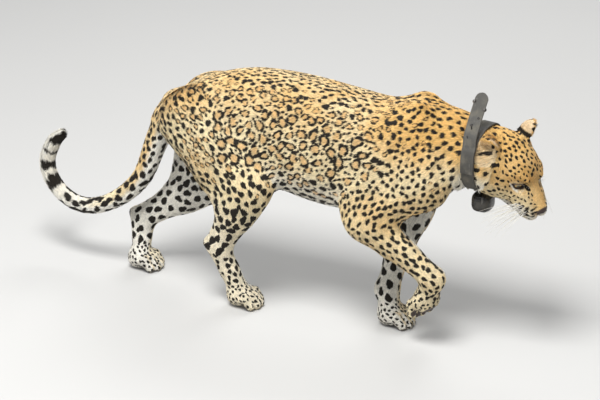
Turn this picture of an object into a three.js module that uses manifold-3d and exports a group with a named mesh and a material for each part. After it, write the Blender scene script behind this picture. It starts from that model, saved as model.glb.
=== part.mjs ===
import * as THREE from 'three';
import { mergeVertices } from 'three/addons/utils/BufferGeometryUtils.js';
import Module from 'manifold-3d';

// A life-size leopard in mid stride wearing a radio collar. Millimetres, x runs
// forward, y to the animal's left, z up from the ground it stands on.

// Trunk from rump to throat: x, top, widest, bottom, half width.
const TRUNK = [
  [-425, 520, 490, 452, 30],
  [-385, 560, 500, 430, 62],
  [-330, 603, 520, 410, 85],
  [-250, 643, 540, 400, 98],
  [-150, 672, 540, 388, 105],
  [-50, 679, 520, 362, 116],
  [50, 675, 500, 342, 124],
  [150, 664, 495, 336, 126],
  [250, 655, 495, 342, 121],
  [340, 662, 505, 362, 108],
  [410, 660, 525, 405, 95],
  [470, 649, 545, 448, 87],
  [520, 632, 545, 461, 82],
  [560, 610, 540, 470, 74],
];
const TRUNK_END = 28;
const TRUNK_POWER = 2.2;

// Joints of the legs.
const HIND_RIGHT = { hip: [-268, -75, 528], knee: [-105, -100, 368], hock: [-205, -75, 168], ball: [-160, -52, 34] };
const HIND_LEFT = { hip: [-280, 75, 525], knee: [-330, 98, 285], hock: [-528, 62, 145], ball: [-536, 48, 34] };
const FORE_RIGHT = {
  blade: [368, -43, 640], shoulder: [398, -88, 475], elbow: [252, -98, 345],
  wrist: [432, -82, 208], knuckle: [405, -60, 140], toes: [-0.55, 0.28, -0.8],
};
const FORE_LEFT = {
  blade: [350, 43, 640], shoulder: [388, 82, 495], elbow: [290, 85, 315],
  wrist: [248, 34, 95], knuckle: [264, 24, 34], toes: [1, 0, -0.22],
};
const HIND_TOES = [1, 0, -0.22];

// Tail from root to tip: x, y, z, radius.
const TAIL = [
  [-375, 0, 532, 46], [-415, 0, 480, 37], [-452, 0, 400, 32], [-490, 2, 310, 28.5], [-540, 4, 250, 26.5],
  [-600, 6, 205, 24.5], [-665, 10, 177, 23.5], [-725, 14, 174, 23], [-782, 20, 198, 22.5], [-818, 26, 240, 22.5],
  [-828, 32, 285, 22.5], [-812, 38, 332, 21], [-790, 42, 358, 16.5],
];

// The head's own frame starts midway between the eyes and looks down and a little to the right.
const HEAD = { at: [655, 0, 500], pitch: -31, yaw: -18, roll: 5 };
const EYE = { at: [-8, 33, 0], radius: 17, pitch: -6, yaw: 26, slant: 12, half: 16, upper: 7.5, lower: 6, lid: 3.2 };
const MOUTH = { front: 86, corner: 12, top: -56, drop: 20, spread: 26, groove: 1.7, depth: 5, wide: 43, bend: 30 };
const EAR = { deep: 25, wall: 4.5 };
const EAR_LEFT = { wide: 30, tall: 38, at: [-96, 64, 49], tip: [-0.22, 0.42, 0.86], open: [0.66, 0.72, -0.1] };
const EAR_RIGHT = { wide: 36, tall: 39, at: [-109, 70, 34], tip: [-0.3, 0.42, 0.86], open: [0.36, 0.9, -0.1] };

// Collar: a loose strap round the neck with a housing under the throat.
const STRAP = { x: 525, z: 570, over: 56, under: 115, side: 88, power: 2.2, lean: 4, width: 36, thick: 4.4, round: 1.6 };
const HOUSING = { at: [536, -4, 420], half: [27, 31, 27], power: 3.2 };
// The strap's free end lies on the ring from one angle to the other and then stands up through these points.
const FREE_END = {
  from: -112, to: -68, stand: [[526, -80, 620], [526, -61, 645], [526, -39, 670], [529, -16, 705]], tip: [531, -8, 717],
};
const BOLT = { radius: 3.6, height: 3 };
const KNOB = { radius: 5.5 };

const GAP = 0.3;

const wasm = await Module();
wasm.setup();

// Sums with lists of three numbers.
const add = (a, b) => [a[0] + b[0], a[1] + b[1], a[2] + b[2]];
const sub = (a, b) => [a[0] - b[0], a[1] - b[1], a[2] - b[2]];
const scale = (a, k) => [a[0] * k, a[1] * k, a[2] * k];
const dot = (a, b) => a[0] * b[0] + a[1] * b[1] + a[2] * b[2];
const cross = (a, b) => [a[1] * b[2] - a[2] * b[1], a[2] * b[0] - a[0] * b[2], a[0] * b[1] - a[1] * b[0]];
const length = (a) => Math.hypot(a[0], a[1], a[2]);
const unit = (a) => scale(a, 1 / length(a));
const mix = (a, b, t) => a.map((v, i) => v * (1 - t) + b[i] * t);
const clamp = (v, lo, hi) => Math.min(hi, Math.max(lo, v));
const ease = (v) => { const t = clamp(v, 0, 1); return t * t * (3 - 2 * t); };

// Rows of the local axes (forward, left, up) turned by pitch (nose up), yaw (to the left) and roll (left side up).
function axes(pitch, yaw, roll) {
  const [p, y, r] = [pitch, yaw, roll].map((v) => (v * Math.PI) / 180);
  const [cp, sp, cy, sy, cr, sr] = [Math.cos(p), Math.sin(p), Math.cos(y), Math.sin(y), Math.cos(r), Math.sin(r)];
  const spin = (v) => {
    const a = [v[0], cr * v[1] - sr * v[2], sr * v[1] + cr * v[2]];
    const b = [cp * a[0] - sp * a[2], a[1], sp * a[0] + cp * a[2]];
    return [cy * b[0] - sy * b[1], sy * b[0] + cy * b[1], b[2]];
  };
  return [spin([1, 0, 0]), spin([0, 1, 0]), spin([0, 0, 1])];
}

// Shapes are given as fields: the distance of a place to the surface, negative inside.
function softMin(a, b, k) {
  const h = Math.max(k - Math.abs(a - b), 0) / k;
  return Math.min(a, b) - h * h * k * 0.25;
}
const softMax = (a, b, k) => -softMin(-a, -b, k);

// Round bar from a to b with its own radius and sideways flatness at each end.
function bar(a, b, ra, rb, fa = 1, fb = fa) {
  const [ux, uy, uz] = sub(b, a);
  const len2 = ux * ux + uy * uy + uz * uz;
  const [ax, ay, az] = a;
  return (x, y, z) => {
    const dx = x - ax;
    const dy = y - ay;
    const dz = z - az;
    const h = clamp((dx * ux + dy * uy + dz * uz) / len2, 0, 1);
    const flat = fa + (fb - fa) * h;
    const vy = (dy - h * uy) / flat;
    const d = Math.hypot(dx - h * ux, vy, dz - h * uz);
    return (d - ra - (rb - ra) * h) * Math.sqrt(Math.min(flat, 1));
  };
}

// Ellipsoid with given half sizes along its own axes.
function ball(c, r, turn = null) {
  return (x, y, z) => {
    let q = [x - c[0], y - c[1], z - c[2]];
    if (turn) q = [dot(q, turn[0]), dot(q, turn[1]), dot(q, turn[2])];
    const k0 = Math.hypot(q[0] / r[0], q[1] / r[1], q[2] / r[2]) + 1e-6;
    const k1 = Math.hypot(q[0] / (r[0] * r[0]), q[1] / (r[1] * r[1]), q[2] / (r[2] * r[2])) + 1e-9;
    return (k0 * (k0 - 1)) / k1;
  };
}

// Smooth line through the stations, each a list of numbers, with n pieces between each two.
function smoothLine(stations, n) {
  const last = stations.length - 1;
  const before = stations[0].map((v, i) => 2 * v - stations[1][i]);
  const after = stations[last].map((v, i) => 2 * v - stations[last - 1][i]);
  const s = [before, ...stations, after];
  const out = [];
  for (let i = 1; i < s.length - 2; i += 1) {
    for (let j = 0; j < n; j += 1) {
      const t = j / n;
      out.push(s[i].map((v, c) => {
        const [p, q, r, w] = [s[i - 1][c], v, s[i + 1][c], s[i + 2][c]];
        return 0.5 * (2 * q + (r - p) * t + (2 * p - 5 * q + 4 * r - w) * t * t + (3 * q - p - 3 * r + w) * t ** 3);
      }));
    }
  }
  out.push(stations[last]);
  return out;
}

// Limb through stations x, y, z, radius, flatness.
function limb(stations, n = 2) {
  const line = smoothLine(stations, n);
  const bars = [];
  for (let i = 1; i < line.length; i += 1) {
    const [a, b] = [line[i - 1], line[i]];
    bars.push(bar(a, b, a[3], b[3], a[4], b[4]));
  }
  return (x, y, z) => {
    let d = Infinity;
    for (const f of bars) d = Math.min(d, f(x, y, z));
    return d;
  };
}

const fuse = (fields, k) => (x, y, z) => {
  let d = fields[0](x, y, z);
  for (let i = 1; i < fields.length; i += 1) d = softMin(d, fields[i](x, y, z), k);
  return d;
};

// A field worked out only within pad of the points' box, and far away elsewhere.
function within(field, points, pad) {
  const lo = [0, 1, 2].map((i) => Math.min(...points.map((p) => p[i])) - pad);
  const hi = [0, 1, 2].map((i) => Math.max(...points.map((p) => p[i])) + pad);
  return (x, y, z) => {
    const out = Math.max(lo[0] - x, x - hi[0], lo[1] - y, y - hi[1], lo[2] - z, z - hi[2]);
    return out > 0 ? 60 + out : field(x, y, z);
  };
}

// Value of a smooth curve through stations (xs, ys).
function curveAt(xs, ys, slopes, x) {
  const n = xs.length;
  const v = clamp(x, xs[0], xs[n - 1]);
  if (x < v) return ys[0] + slopes[0] * Math.max(x - v, -40);
  if (x > v) return ys[n - 1] + slopes[n - 1] * Math.min(x - v, 40);
  let i = 0;
  while (i < n - 2 && v > xs[i + 1]) i += 1;
  const h = xs[i + 1] - xs[i];
  const t = (v - xs[i]) / h;
  const [t2, t3] = [t * t, t * t * t];
  return (2 * t3 - 3 * t2 + 1) * ys[i] + (t3 - 2 * t2 + t) * h * slopes[i]
    + (-2 * t3 + 3 * t2) * ys[i + 1] + (t3 - t2) * h * slopes[i + 1];
}
function slopesOf(xs, ys) {
  return xs.map((x, i) => {
    if (i === 0) return (ys[1] - ys[0]) / (xs[1] - xs[0]);
    if (i === xs.length - 1) return (ys[i] - ys[i - 1]) / (xs[i] - xs[i - 1]);
    const [hs, hd] = [xs[i] - xs[i - 1], xs[i + 1] - xs[i]];
    const [s, d] = [(ys[i] - ys[i - 1]) / hs, (ys[i + 1] - ys[i]) / hd];
    return (s * hd + d * hs) / (hs + hd);
  });
}

function makeTrunk() {
  const xs = TRUNK.map((s) => s[0]);
  const columns = [1, 2, 3, 4].map((c) => TRUNK.map((s) => s[c]));
  const slopes = columns.map((ys) => slopesOf(xs, ys));
  const [first, last] = [xs[0], xs[xs.length - 1]];
  return (x, y, z) => {
    const [top, mid, low, half] = columns.map((ys, i) => curveAt(xs, ys, slopes[i], x));
    const dz = z - mid;
    const tall = dz > 0 ? top - mid : mid - low;
    const rho = (Math.abs(y / half) ** TRUNK_POWER + Math.abs(dz / tall) ** TRUNK_POWER) ** (1 / TRUNK_POWER) + 1e-9;
    const d = rho > 0.25 ? Math.hypot(y, dz) * (1 - 1 / rho) : (rho - 1) * Math.min(half, tall);
    const over = Math.max(first - x, x - last, 0);
    return over > 0 ? Math.hypot(Math.max(d + TRUNK_END, 0), over) - TRUNK_END : d;
  };
}

const at = (p, radius, flat) => [...p, radius, flat];

// Four-toed paw at the knuckles k pointing along toes.
function makePaw(k, toes) {
  const t = unit(toes);
  let side = cross([0, 0, 1], t);
  side = length(side) > 0.35 ? unit(side) : unit([0.15, 1, 0]);
  const up = cross(t, side);
  const step = (along, across, rise) => add(k, add(scale(t, along), add(scale(side, across), scale(up, rise))));
  const parts = [];
  for (const place of [-1.5, -0.5, 0.5, 1.5]) {
    const reach = Math.abs(place) > 1 ? 50 : 60;
    const base = step(10, place * 16.5, 0);
    const mid = step(reach * 0.6, place * 19.5, 5);
    const tip = step(reach, place * 19.5, -10);
    const hind = bar(base, mid, 16.5, 15.5);
    const front = bar(mid, tip, 15.5, 12.5);
    parts.push((x, y, z) => Math.min(hind(x, y, z), front(x, y, z)));
  }
  const palm = bar(step(-1, 0, -4), step(16, 0, -5), 31, 27, 1.18, 1.22);
  return fuse([palm, ...parts], 6);
}

function makeHindLeg({ hip, knee, hock, ball: foot }) {
  const rear = mix(knee, hock, 0.18);
  const thigh = fuse([
    limb([at(hip, 88, 0.6), at(mix(hip, knee, 0.5), 80, 0.62), at(mix(hip, knee, 0.93), 60, 0.68)]),
    limb([at(add(hip, [-48, 0, -5]), 66, 0.55), at(add(mix(hip, rear, 0.55), [-40, 0, 0]), 62, 0.55),
      at(add(mix(knee, hock, 0.3), [-18, 0, 0]), 46, 0.62)]),
    limb([at(add(hip, [60, 0, -10]), 52, 0.6), at(add(knee, [4, 0, 30]), 48, 0.62)], 1),
  ], 50);
  const shank = limb([at(knee, 56, 0.74), at(mix(knee, hock, 0.25), 55, 0.74), at(mix(knee, hock, 0.5), 47, 0.76),
    at(mix(knee, hock, 0.75), 36, 0.8), at(hock, 31, 0.86)]);
  const down = unit(sub(foot, hock));
  const heel = add(add(hock, scale(down, -10)), [-30, 0, 2]);
  const calf = add(mix(knee, hock, 0.42), [-30, 0, 6]);
  const tendon = limb([at(calf, 26, 0.8), at(mix(calf, heel, 0.5), 17, 0.85), at(heel, 16.5, 0.9)]);
  const back = limb([at(heel, 16.5, 0.9), at(add(mix(hock, foot, 0.45), [-6, 0, 0]), 21, 0.95)], 1);
  const cannon = limb([at(hock, 31, 0.86), at(mix(hock, foot, 0.35), 27.5, 0.9), at(mix(hock, foot, 0.7), 26.5, 1.05),
    at(foot, 27, 1.2)]);
  const paw = makePaw(foot, HIND_TOES);
  const leg = (x, y, z) => {
    let d = softMin(thigh(x, y, z), shank(x, y, z), 40);
    d = softMin(d, tendon(x, y, z), 20);
    d = softMin(d, back(x, y, z), 15);
    d = softMin(d, cannon(x, y, z), 18);
    return softMin(d, paw(x, y, z), 18);
  };
  return within(leg, [hip, knee, hock, foot], 170);
}

function makeForeLeg({ blade, shoulder, elbow, wrist, knuckle, toes }) {
  const upper = fuse([
    limb([at(blade, 34, 0.55), at(mix(blade, shoulder, 0.5), 56, 0.55), at(shoulder, 62, 0.62)]),
    limb([at(add(mix(blade, shoulder, 0.45), [-55, 0, 0]), 46, 0.5), at(add(elbow, [-4, 0, 75]), 56, 0.55),
      at(add(elbow, [-12, 0, 18]), 46, 0.66)]),
    limb([at(shoulder, 62, 0.66), at(mix(shoulder, elbow, 0.5), 56, 0.68), at(elbow, 52, 0.76)]),
  ], 45);
  const down = unit(sub(wrist, elbow));
  const point = add(add(elbow, scale(down, -20)), [-30, 0, 6]);
  const forearm = limb([at(elbow, 52, 0.8), at(mix(elbow, wrist, 0.25), 47.5, 0.82), at(mix(elbow, wrist, 0.5), 41, 0.86),
    at(mix(elbow, wrist, 0.75), 33.5, 0.92), at(wrist, 31, 0.98)]);
  const rear = limb([at(point, 22, 0.85), at(add(mix(elbow, wrist, 0.35), [-10, 0, -8]), 32, 0.85)]);
  const palm = limb([at(wrist, 31, 0.98), at(mix(wrist, knuckle, 0.5), 29.5, 1.08), at(knuckle, 29, 1.2)]);
  const paw = makePaw(knuckle, toes);
  const leg = (x, y, z) => {
    let d = softMin(upper(x, y, z), softMin(forearm(x, y, z), rear(x, y, z), 25), 35);
    d = softMin(d, palm(x, y, z), 16);
    return softMin(d, paw(x, y, z), 18);
  };
  return within(leg, [blade, shoulder, elbow, wrist, knuckle], 170);
}

const HEAD_AXES = axes(HEAD.pitch, HEAD.yaw, HEAD.roll);
const toHead = (x, y, z) => {
  const q = [x - HEAD.at[0], y - HEAD.at[1], z - HEAD.at[2]];
  return [dot(q, HEAD_AXES[0]), dot(q, HEAD_AXES[1]), dot(q, HEAD_AXES[2])];
};
const fromHead = (p) => [0, 1, 2].map((i) => HEAD.at[i] + p[0] * HEAD_AXES[0][i] + p[1] * HEAD_AXES[1][i] + p[2] * HEAD_AXES[2][i]);

// Left eye's own axes: forward, outward, up. The right eye mirrors them.
const EYE_AXES = axes(EYE.pitch, EYE.yaw, EYE.slant);

// Height of the line of the mouth in the head's frame.
function mouthLine(u, v) {
  const out = ease(v / MOUTH.spread);
  const back = ease((50 - u) / 45);
  return MOUTH.top - MOUTH.drop * out * (1 - 0.25 * back);
}

// Cup of the left ear in the head's frame: a round shell open to the side.
function makeEar(ear) {
  const tip = unit(ear.tip);
  const open = unit(sub(ear.open, scale(tip, dot(ear.open, tip))));
  const side = cross(tip, open);
  const turn = [side, open, tip];
  const outer = ball(ear.at, [ear.wide, EAR.deep, ear.tall], turn);
  const shift = add(ear.at, add(scale(open, 13), scale(tip, -1)));
  const inner = ball(shift, [ear.wide - EAR.wall + 2, EAR.deep + 9 - EAR.wall, ear.tall - EAR.wall + 1], turn);
  const root = bar(add(ear.at, scale(tip, -30)), add(ear.at, add(scale(tip, -14), scale(open, -6))), 22, 18);
  const pit = ball(add(ear.at, add(scale(tip, -20), scale(open, 8))), [13, 17, 15], turn);
  return (u, v, w) => {
    const lip = dot(sub([u, v, w], ear.at), open) - 5;
    let d = softMax(outer(u, v, w), lip, 5);
    d = softMin(d, root(u, v, w), 14);
    d = softMax(d, -inner(u, v, w), 3);
    return softMax(d, -pit(u, v, w), 6);
  };
}

function makeHead() {
  const skull = ball([-80, 0, 2], [84, 69, 62]);
  const forehead = ball([-26, 0, 12], [42, 48, 32]);
  const cheek = ball([-48, 44, -30], [58, 38, 42], axes(-8, -12, 0));
  const jowl = ball([-74, 40, -54], [50, 36, 34]);
  const maxilla = ball([16, 24, -36], [44, 25, 27], axes(-14, -10, 0));
  const bridge = bar([-4, 0, -4], [69, 0, -34], 23, 14, 1.3, 1.3);
  const pad = ball([48, 19, -54], [36, 24, 22], axes(-12, -8, 0));
  const jaw = bar([-38, 16, -76], [34, 4, -81], 24, 15);
  const chin = ball([45, 0, -82], [17, 17, 14]);
  const nose = ball([77, 0, -37], [12.5, 17, 12]);
  const wing = ball([76, 10, -42], [10, 8.5, 9]);
  const brow = bar([-14, 38, 20], [12, 27, 16], 12.5, 10);
  const hollow = ball([16, 40, 2], [16, 15, 11]);
  const lids = ball(EYE.at, [EYE.radius + EYE.lid, EYE.radius + EYE.lid, EYE.radius + EYE.lid]);
  const nostril = ball([86, 8, -42], [7, 4.2, 4.2], axes(-20, 30, 0));
  const slit = ball([82, 15, -46], [9, 3.2, 3], axes(0, -40, 20));
  const philtrum = bar([92, 0, -44], [80, 0, -60], 2.2, 2.2);
  const earLeft = makeEar(EAR_LEFT);
  const earRight = makeEar(EAR_RIGHT);
  const field = (x, y, z) => {
    const q = toHead(x, y, z);
    const [u, v, w] = [q[0], Math.abs(q[1]), q[2]];
    let d = skull(u, v, w);
    d = softMin(d, forehead(u, v, w), 30);
    d = softMin(d, cheek(u, v, w), 30);
    d = softMin(d, jowl(u, v, w), 30);
    d = softMin(d, (q[1] > 0 ? earLeft : earRight)(u, v, w), 12);
    if (u > -70) {
      d = softMin(d, maxilla(u, v, w), 22);
      d = softMin(d, bridge(u, v, w), 20);
      d = softMin(d, pad(u, v, w), 16);
      d = softMin(d, brow(u, v, w), 12);
      const line = w - mouthLine(u, v);
      const chops = softMin(jaw(u, v, w), chin(u, v, w), 14);
      d = softMin(d, chops, 5 + 15 * ease((10 - u) / 30));
      d = softMin(d, nose(u, v, w), 6);
      d = softMin(d, wing(u, v, w), 4);
      d = softMax(d, -hollow(u, v, w), 14);
      d = softMin(d, lids(u, v, w), 5);
      const e = sub([u, v, w], EYE.at);
      const [f, s, h] = [dot(e, EYE_AXES[0]), dot(e, EYE_AXES[1]), dot(e, EYE_AXES[2])];
      const bow = 1 - (s / EYE.half) ** 2;
      const slot = Math.max(h - EYE.upper * bow, -h - EYE.lower * bow, 4 - f);
      d = softMax(d, -slot, 1.5);
      const run = (u - MOUTH.bend) / (MOUTH.front - MOUTH.bend);
      const rim = u > MOUTH.bend ? MOUTH.wide * Math.sqrt(Math.max(0, 1 - run * run)) : MOUTH.wide + (MOUTH.bend - u) * 0.2;
      d = softMax(d, -Math.max(Math.abs(line) - MOUTH.groove, MOUTH.corner - u, rim - MOUTH.depth - v), 0.5);
      d = softMax(d, -nostril(u, v, w), 1.5);
      d = softMax(d, -slit(u, v, w), 1.5);
      d = softMax(d, -philtrum(u, v, w), 1);
    }
    return d;
  };
  return within(field, [HEAD.at], 210);
}

const trunk = makeTrunk();
const hindRight = makeHindLeg(HIND_RIGHT);
const hindLeft = makeHindLeg(HIND_LEFT);
const foreRight = makeForeLeg(FORE_RIGHT);
const foreLeft = makeForeLeg(FORE_LEFT);
const tail = within(limb(TAIL.map((s) => [...s, 1]), 3), TAIL, 90);
const head = makeHead();

// How far a place lies inside the room that the collar's band presses free of fur.
function bandRoom(x, y, z) {
  const lean = (STRAP.lean * Math.PI) / 180;
  const rise = z - STRAP.z;
  const off = Math.abs((x - STRAP.x) * Math.cos(lean) - rise * Math.sin(lean)) - STRAP.width / 2 - 3;
  if (off > 40) return -40;
  const tall = rise > 0 ? STRAP.over : STRAP.under;
  const rho = (Math.abs(y / STRAP.side) ** STRAP.power + Math.abs(rise / tall) ** STRAP.power) ** (1 / STRAP.power);
  if (rho < 0.3) return -40;
  const inside = Math.hypot(y, rise) * (1 / rho - 1) - STRAP.thick / 2 - 1;
  return -Math.max(inside, off);
}

// The whole animal. The tail blends only at its root.
function body(x, y, z) {
  let d = trunk(x, y, z);
  d = softMin(d, hindRight(x, y, z), 50);
  d = softMin(d, hindLeft(x, y, z), 50);
  d = softMin(d, foreRight(x, y, z), 40);
  d = softMin(d, foreLeft(x, y, z), 40);
  d = softMin(d, tail(x, y, z), 1 + 29 * ease((z - 400) / 80));
  d = softMin(d, head(x, y, z), 40);
  return x > 470 && x < 590 ? softMax(d, bandRoom(x, y, z), 5) : d;
}

const TETS = [[0, 1, 3, 7], [0, 3, 2, 7], [0, 2, 6, 7], [0, 6, 4, 7], [0, 4, 5, 7], [0, 5, 1, 7]];
const EVEN = [[0, 1, 2, 3], [1, 0, 3, 2], [2, 0, 1, 3], [3, 0, 2, 1]];
const PAIRS = [[0, 1, 2, 3], [0, 2, 3, 1], [0, 3, 1, 2], [1, 2, 0, 3], [3, 1, 0, 2], [2, 3, 0, 1]];

// Triangles of one cut tetrahedron, as pairs of its corners, for each set of inside corners.
function tetTable() {
  const table = [];
  for (let mask = 0; mask < 16; mask += 1) {
    const inside = [0, 1, 2, 3].filter((i) => mask & (1 << i));
    if (inside.length === 1) {
      const [i, j, k, l] = EVEN[inside[0]];
      table.push([[[i, j], [i, k], [i, l]]]);
    } else if (inside.length === 3) {
      const [i, j, k, l] = EVEN[[0, 1, 2, 3].find((v) => !(mask & (1 << v)))];
      table.push([[[i, j], [i, l], [i, k]]]);
    } else if (inside.length === 2) {
      const [i, j, k, l] = PAIRS.find((p) => (mask & (1 << p[0])) && (mask & (1 << p[1])));
      table.push([[[i, k], [i, l], [j, l]], [[i, k], [j, l], [j, k]]]);
    } else {
      table.push([]);
    }
  }
  return table;
}
const TABLE = tetTable();

// Closed surface of a field inside the box lo..hi on a grid of the given step.
function surface(field, lo, hi, step, coarse = 4) {
  const cells = [0, 1, 2].map((i) => Math.ceil((hi[i] - lo[i]) / (step * coarse)) * coarse);
  const [nx, ny, nz] = cells.map((c) => c + 1);
  const values = new Float32Array(nx * ny * nz).fill(NaN);
  const index = (i, j, k) => (i * ny + j) * nz + k;
  const value = (i, j, k) => {
    const n = index(i, j, k);
    if (Number.isNaN(values[n])) {
      const rim = i === 0 || j === 0 || k === 0 || i === nx - 1 || j === ny - 1 || k === nz - 1;
      const d = field(lo[0] + i * step, lo[1] + j * step, lo[2] + k * step);
      values[n] = rim ? Math.max(d, 0.4 * step) : d;
    }
    return values[n];
  };
  const corner = [0, 1, 2, 3, 4, 5, 6, 7].map((c) => [c & 1, (c >> 1) & 1, (c >> 2) & 1]);
  const reach = step * coarse * 1.3;
  const points = [];
  const ids = new Map();
  const faces = [];
  const point = (i, j, k, a, b) => {
    const [ca, cb] = a < b ? [corner[a], corner[b]] : [corner[b], corner[a]];
    const base = index(i + ca[0], j + ca[1], k + ca[2]);
    const key = base * 8 + (a ^ b);
    if (ids.has(key)) return ids.get(key);
    const va = value(i + ca[0], j + ca[1], k + ca[2]);
    const vb = value(i + cb[0], j + cb[1], k + cb[2]);
    const t = clamp(va / (va - vb), 0.04, 0.96);
    const id = points.length / 3;
    for (let c = 0; c < 3; c += 1) {
      points.push(lo[c] + ([i, j, k][c] + ca[c] + (cb[c] - ca[c]) * t) * step);
    }
    ids.set(key, id);
    return id;
  };
  for (let I = 0; I < nx - 1; I += coarse) {
    for (let J = 0; J < ny - 1; J += coarse) {
      for (let K = 0; K < nz - 1; K += coarse) {
        let [low, high, near] = [Infinity, -Infinity, Infinity];
        for (const [a, b, c] of corner) {
          const v = value(I + a * coarse, J + b * coarse, K + c * coarse);
          low = Math.min(low, v);
          high = Math.max(high, v);
          near = Math.min(near, Math.abs(v));
        }
        if (!(low < 0 && high >= 0) && near > reach) continue;
        for (let i = I; i < I + coarse; i += 1) {
          for (let j = J; j < J + coarse; j += 1) {
            for (let k = K; k < K + coarse; k += 1) {
              let mask = 0;
              for (let c = 0; c < 8; c += 1) {
                if (value(i + corner[c][0], j + corner[c][1], k + corner[c][2]) < 0) mask |= 1 << c;
              }
              if (mask === 0 || mask === 255) continue;
              for (const tet of TETS) {
                let inner = 0;
                for (let c = 0; c < 4; c += 1) if (mask & (1 << tet[c])) inner |= 1 << c;
                for (const tri of TABLE[inner]) {
                  for (const [a, b] of tri) faces.push(point(i, j, k, tet[a], tet[b]));
                }
              }
            }
          }
        }
      }
    }
  }
  return { points: Float64Array.from(points), faces: Int32Array.from(faces) };
}

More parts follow.
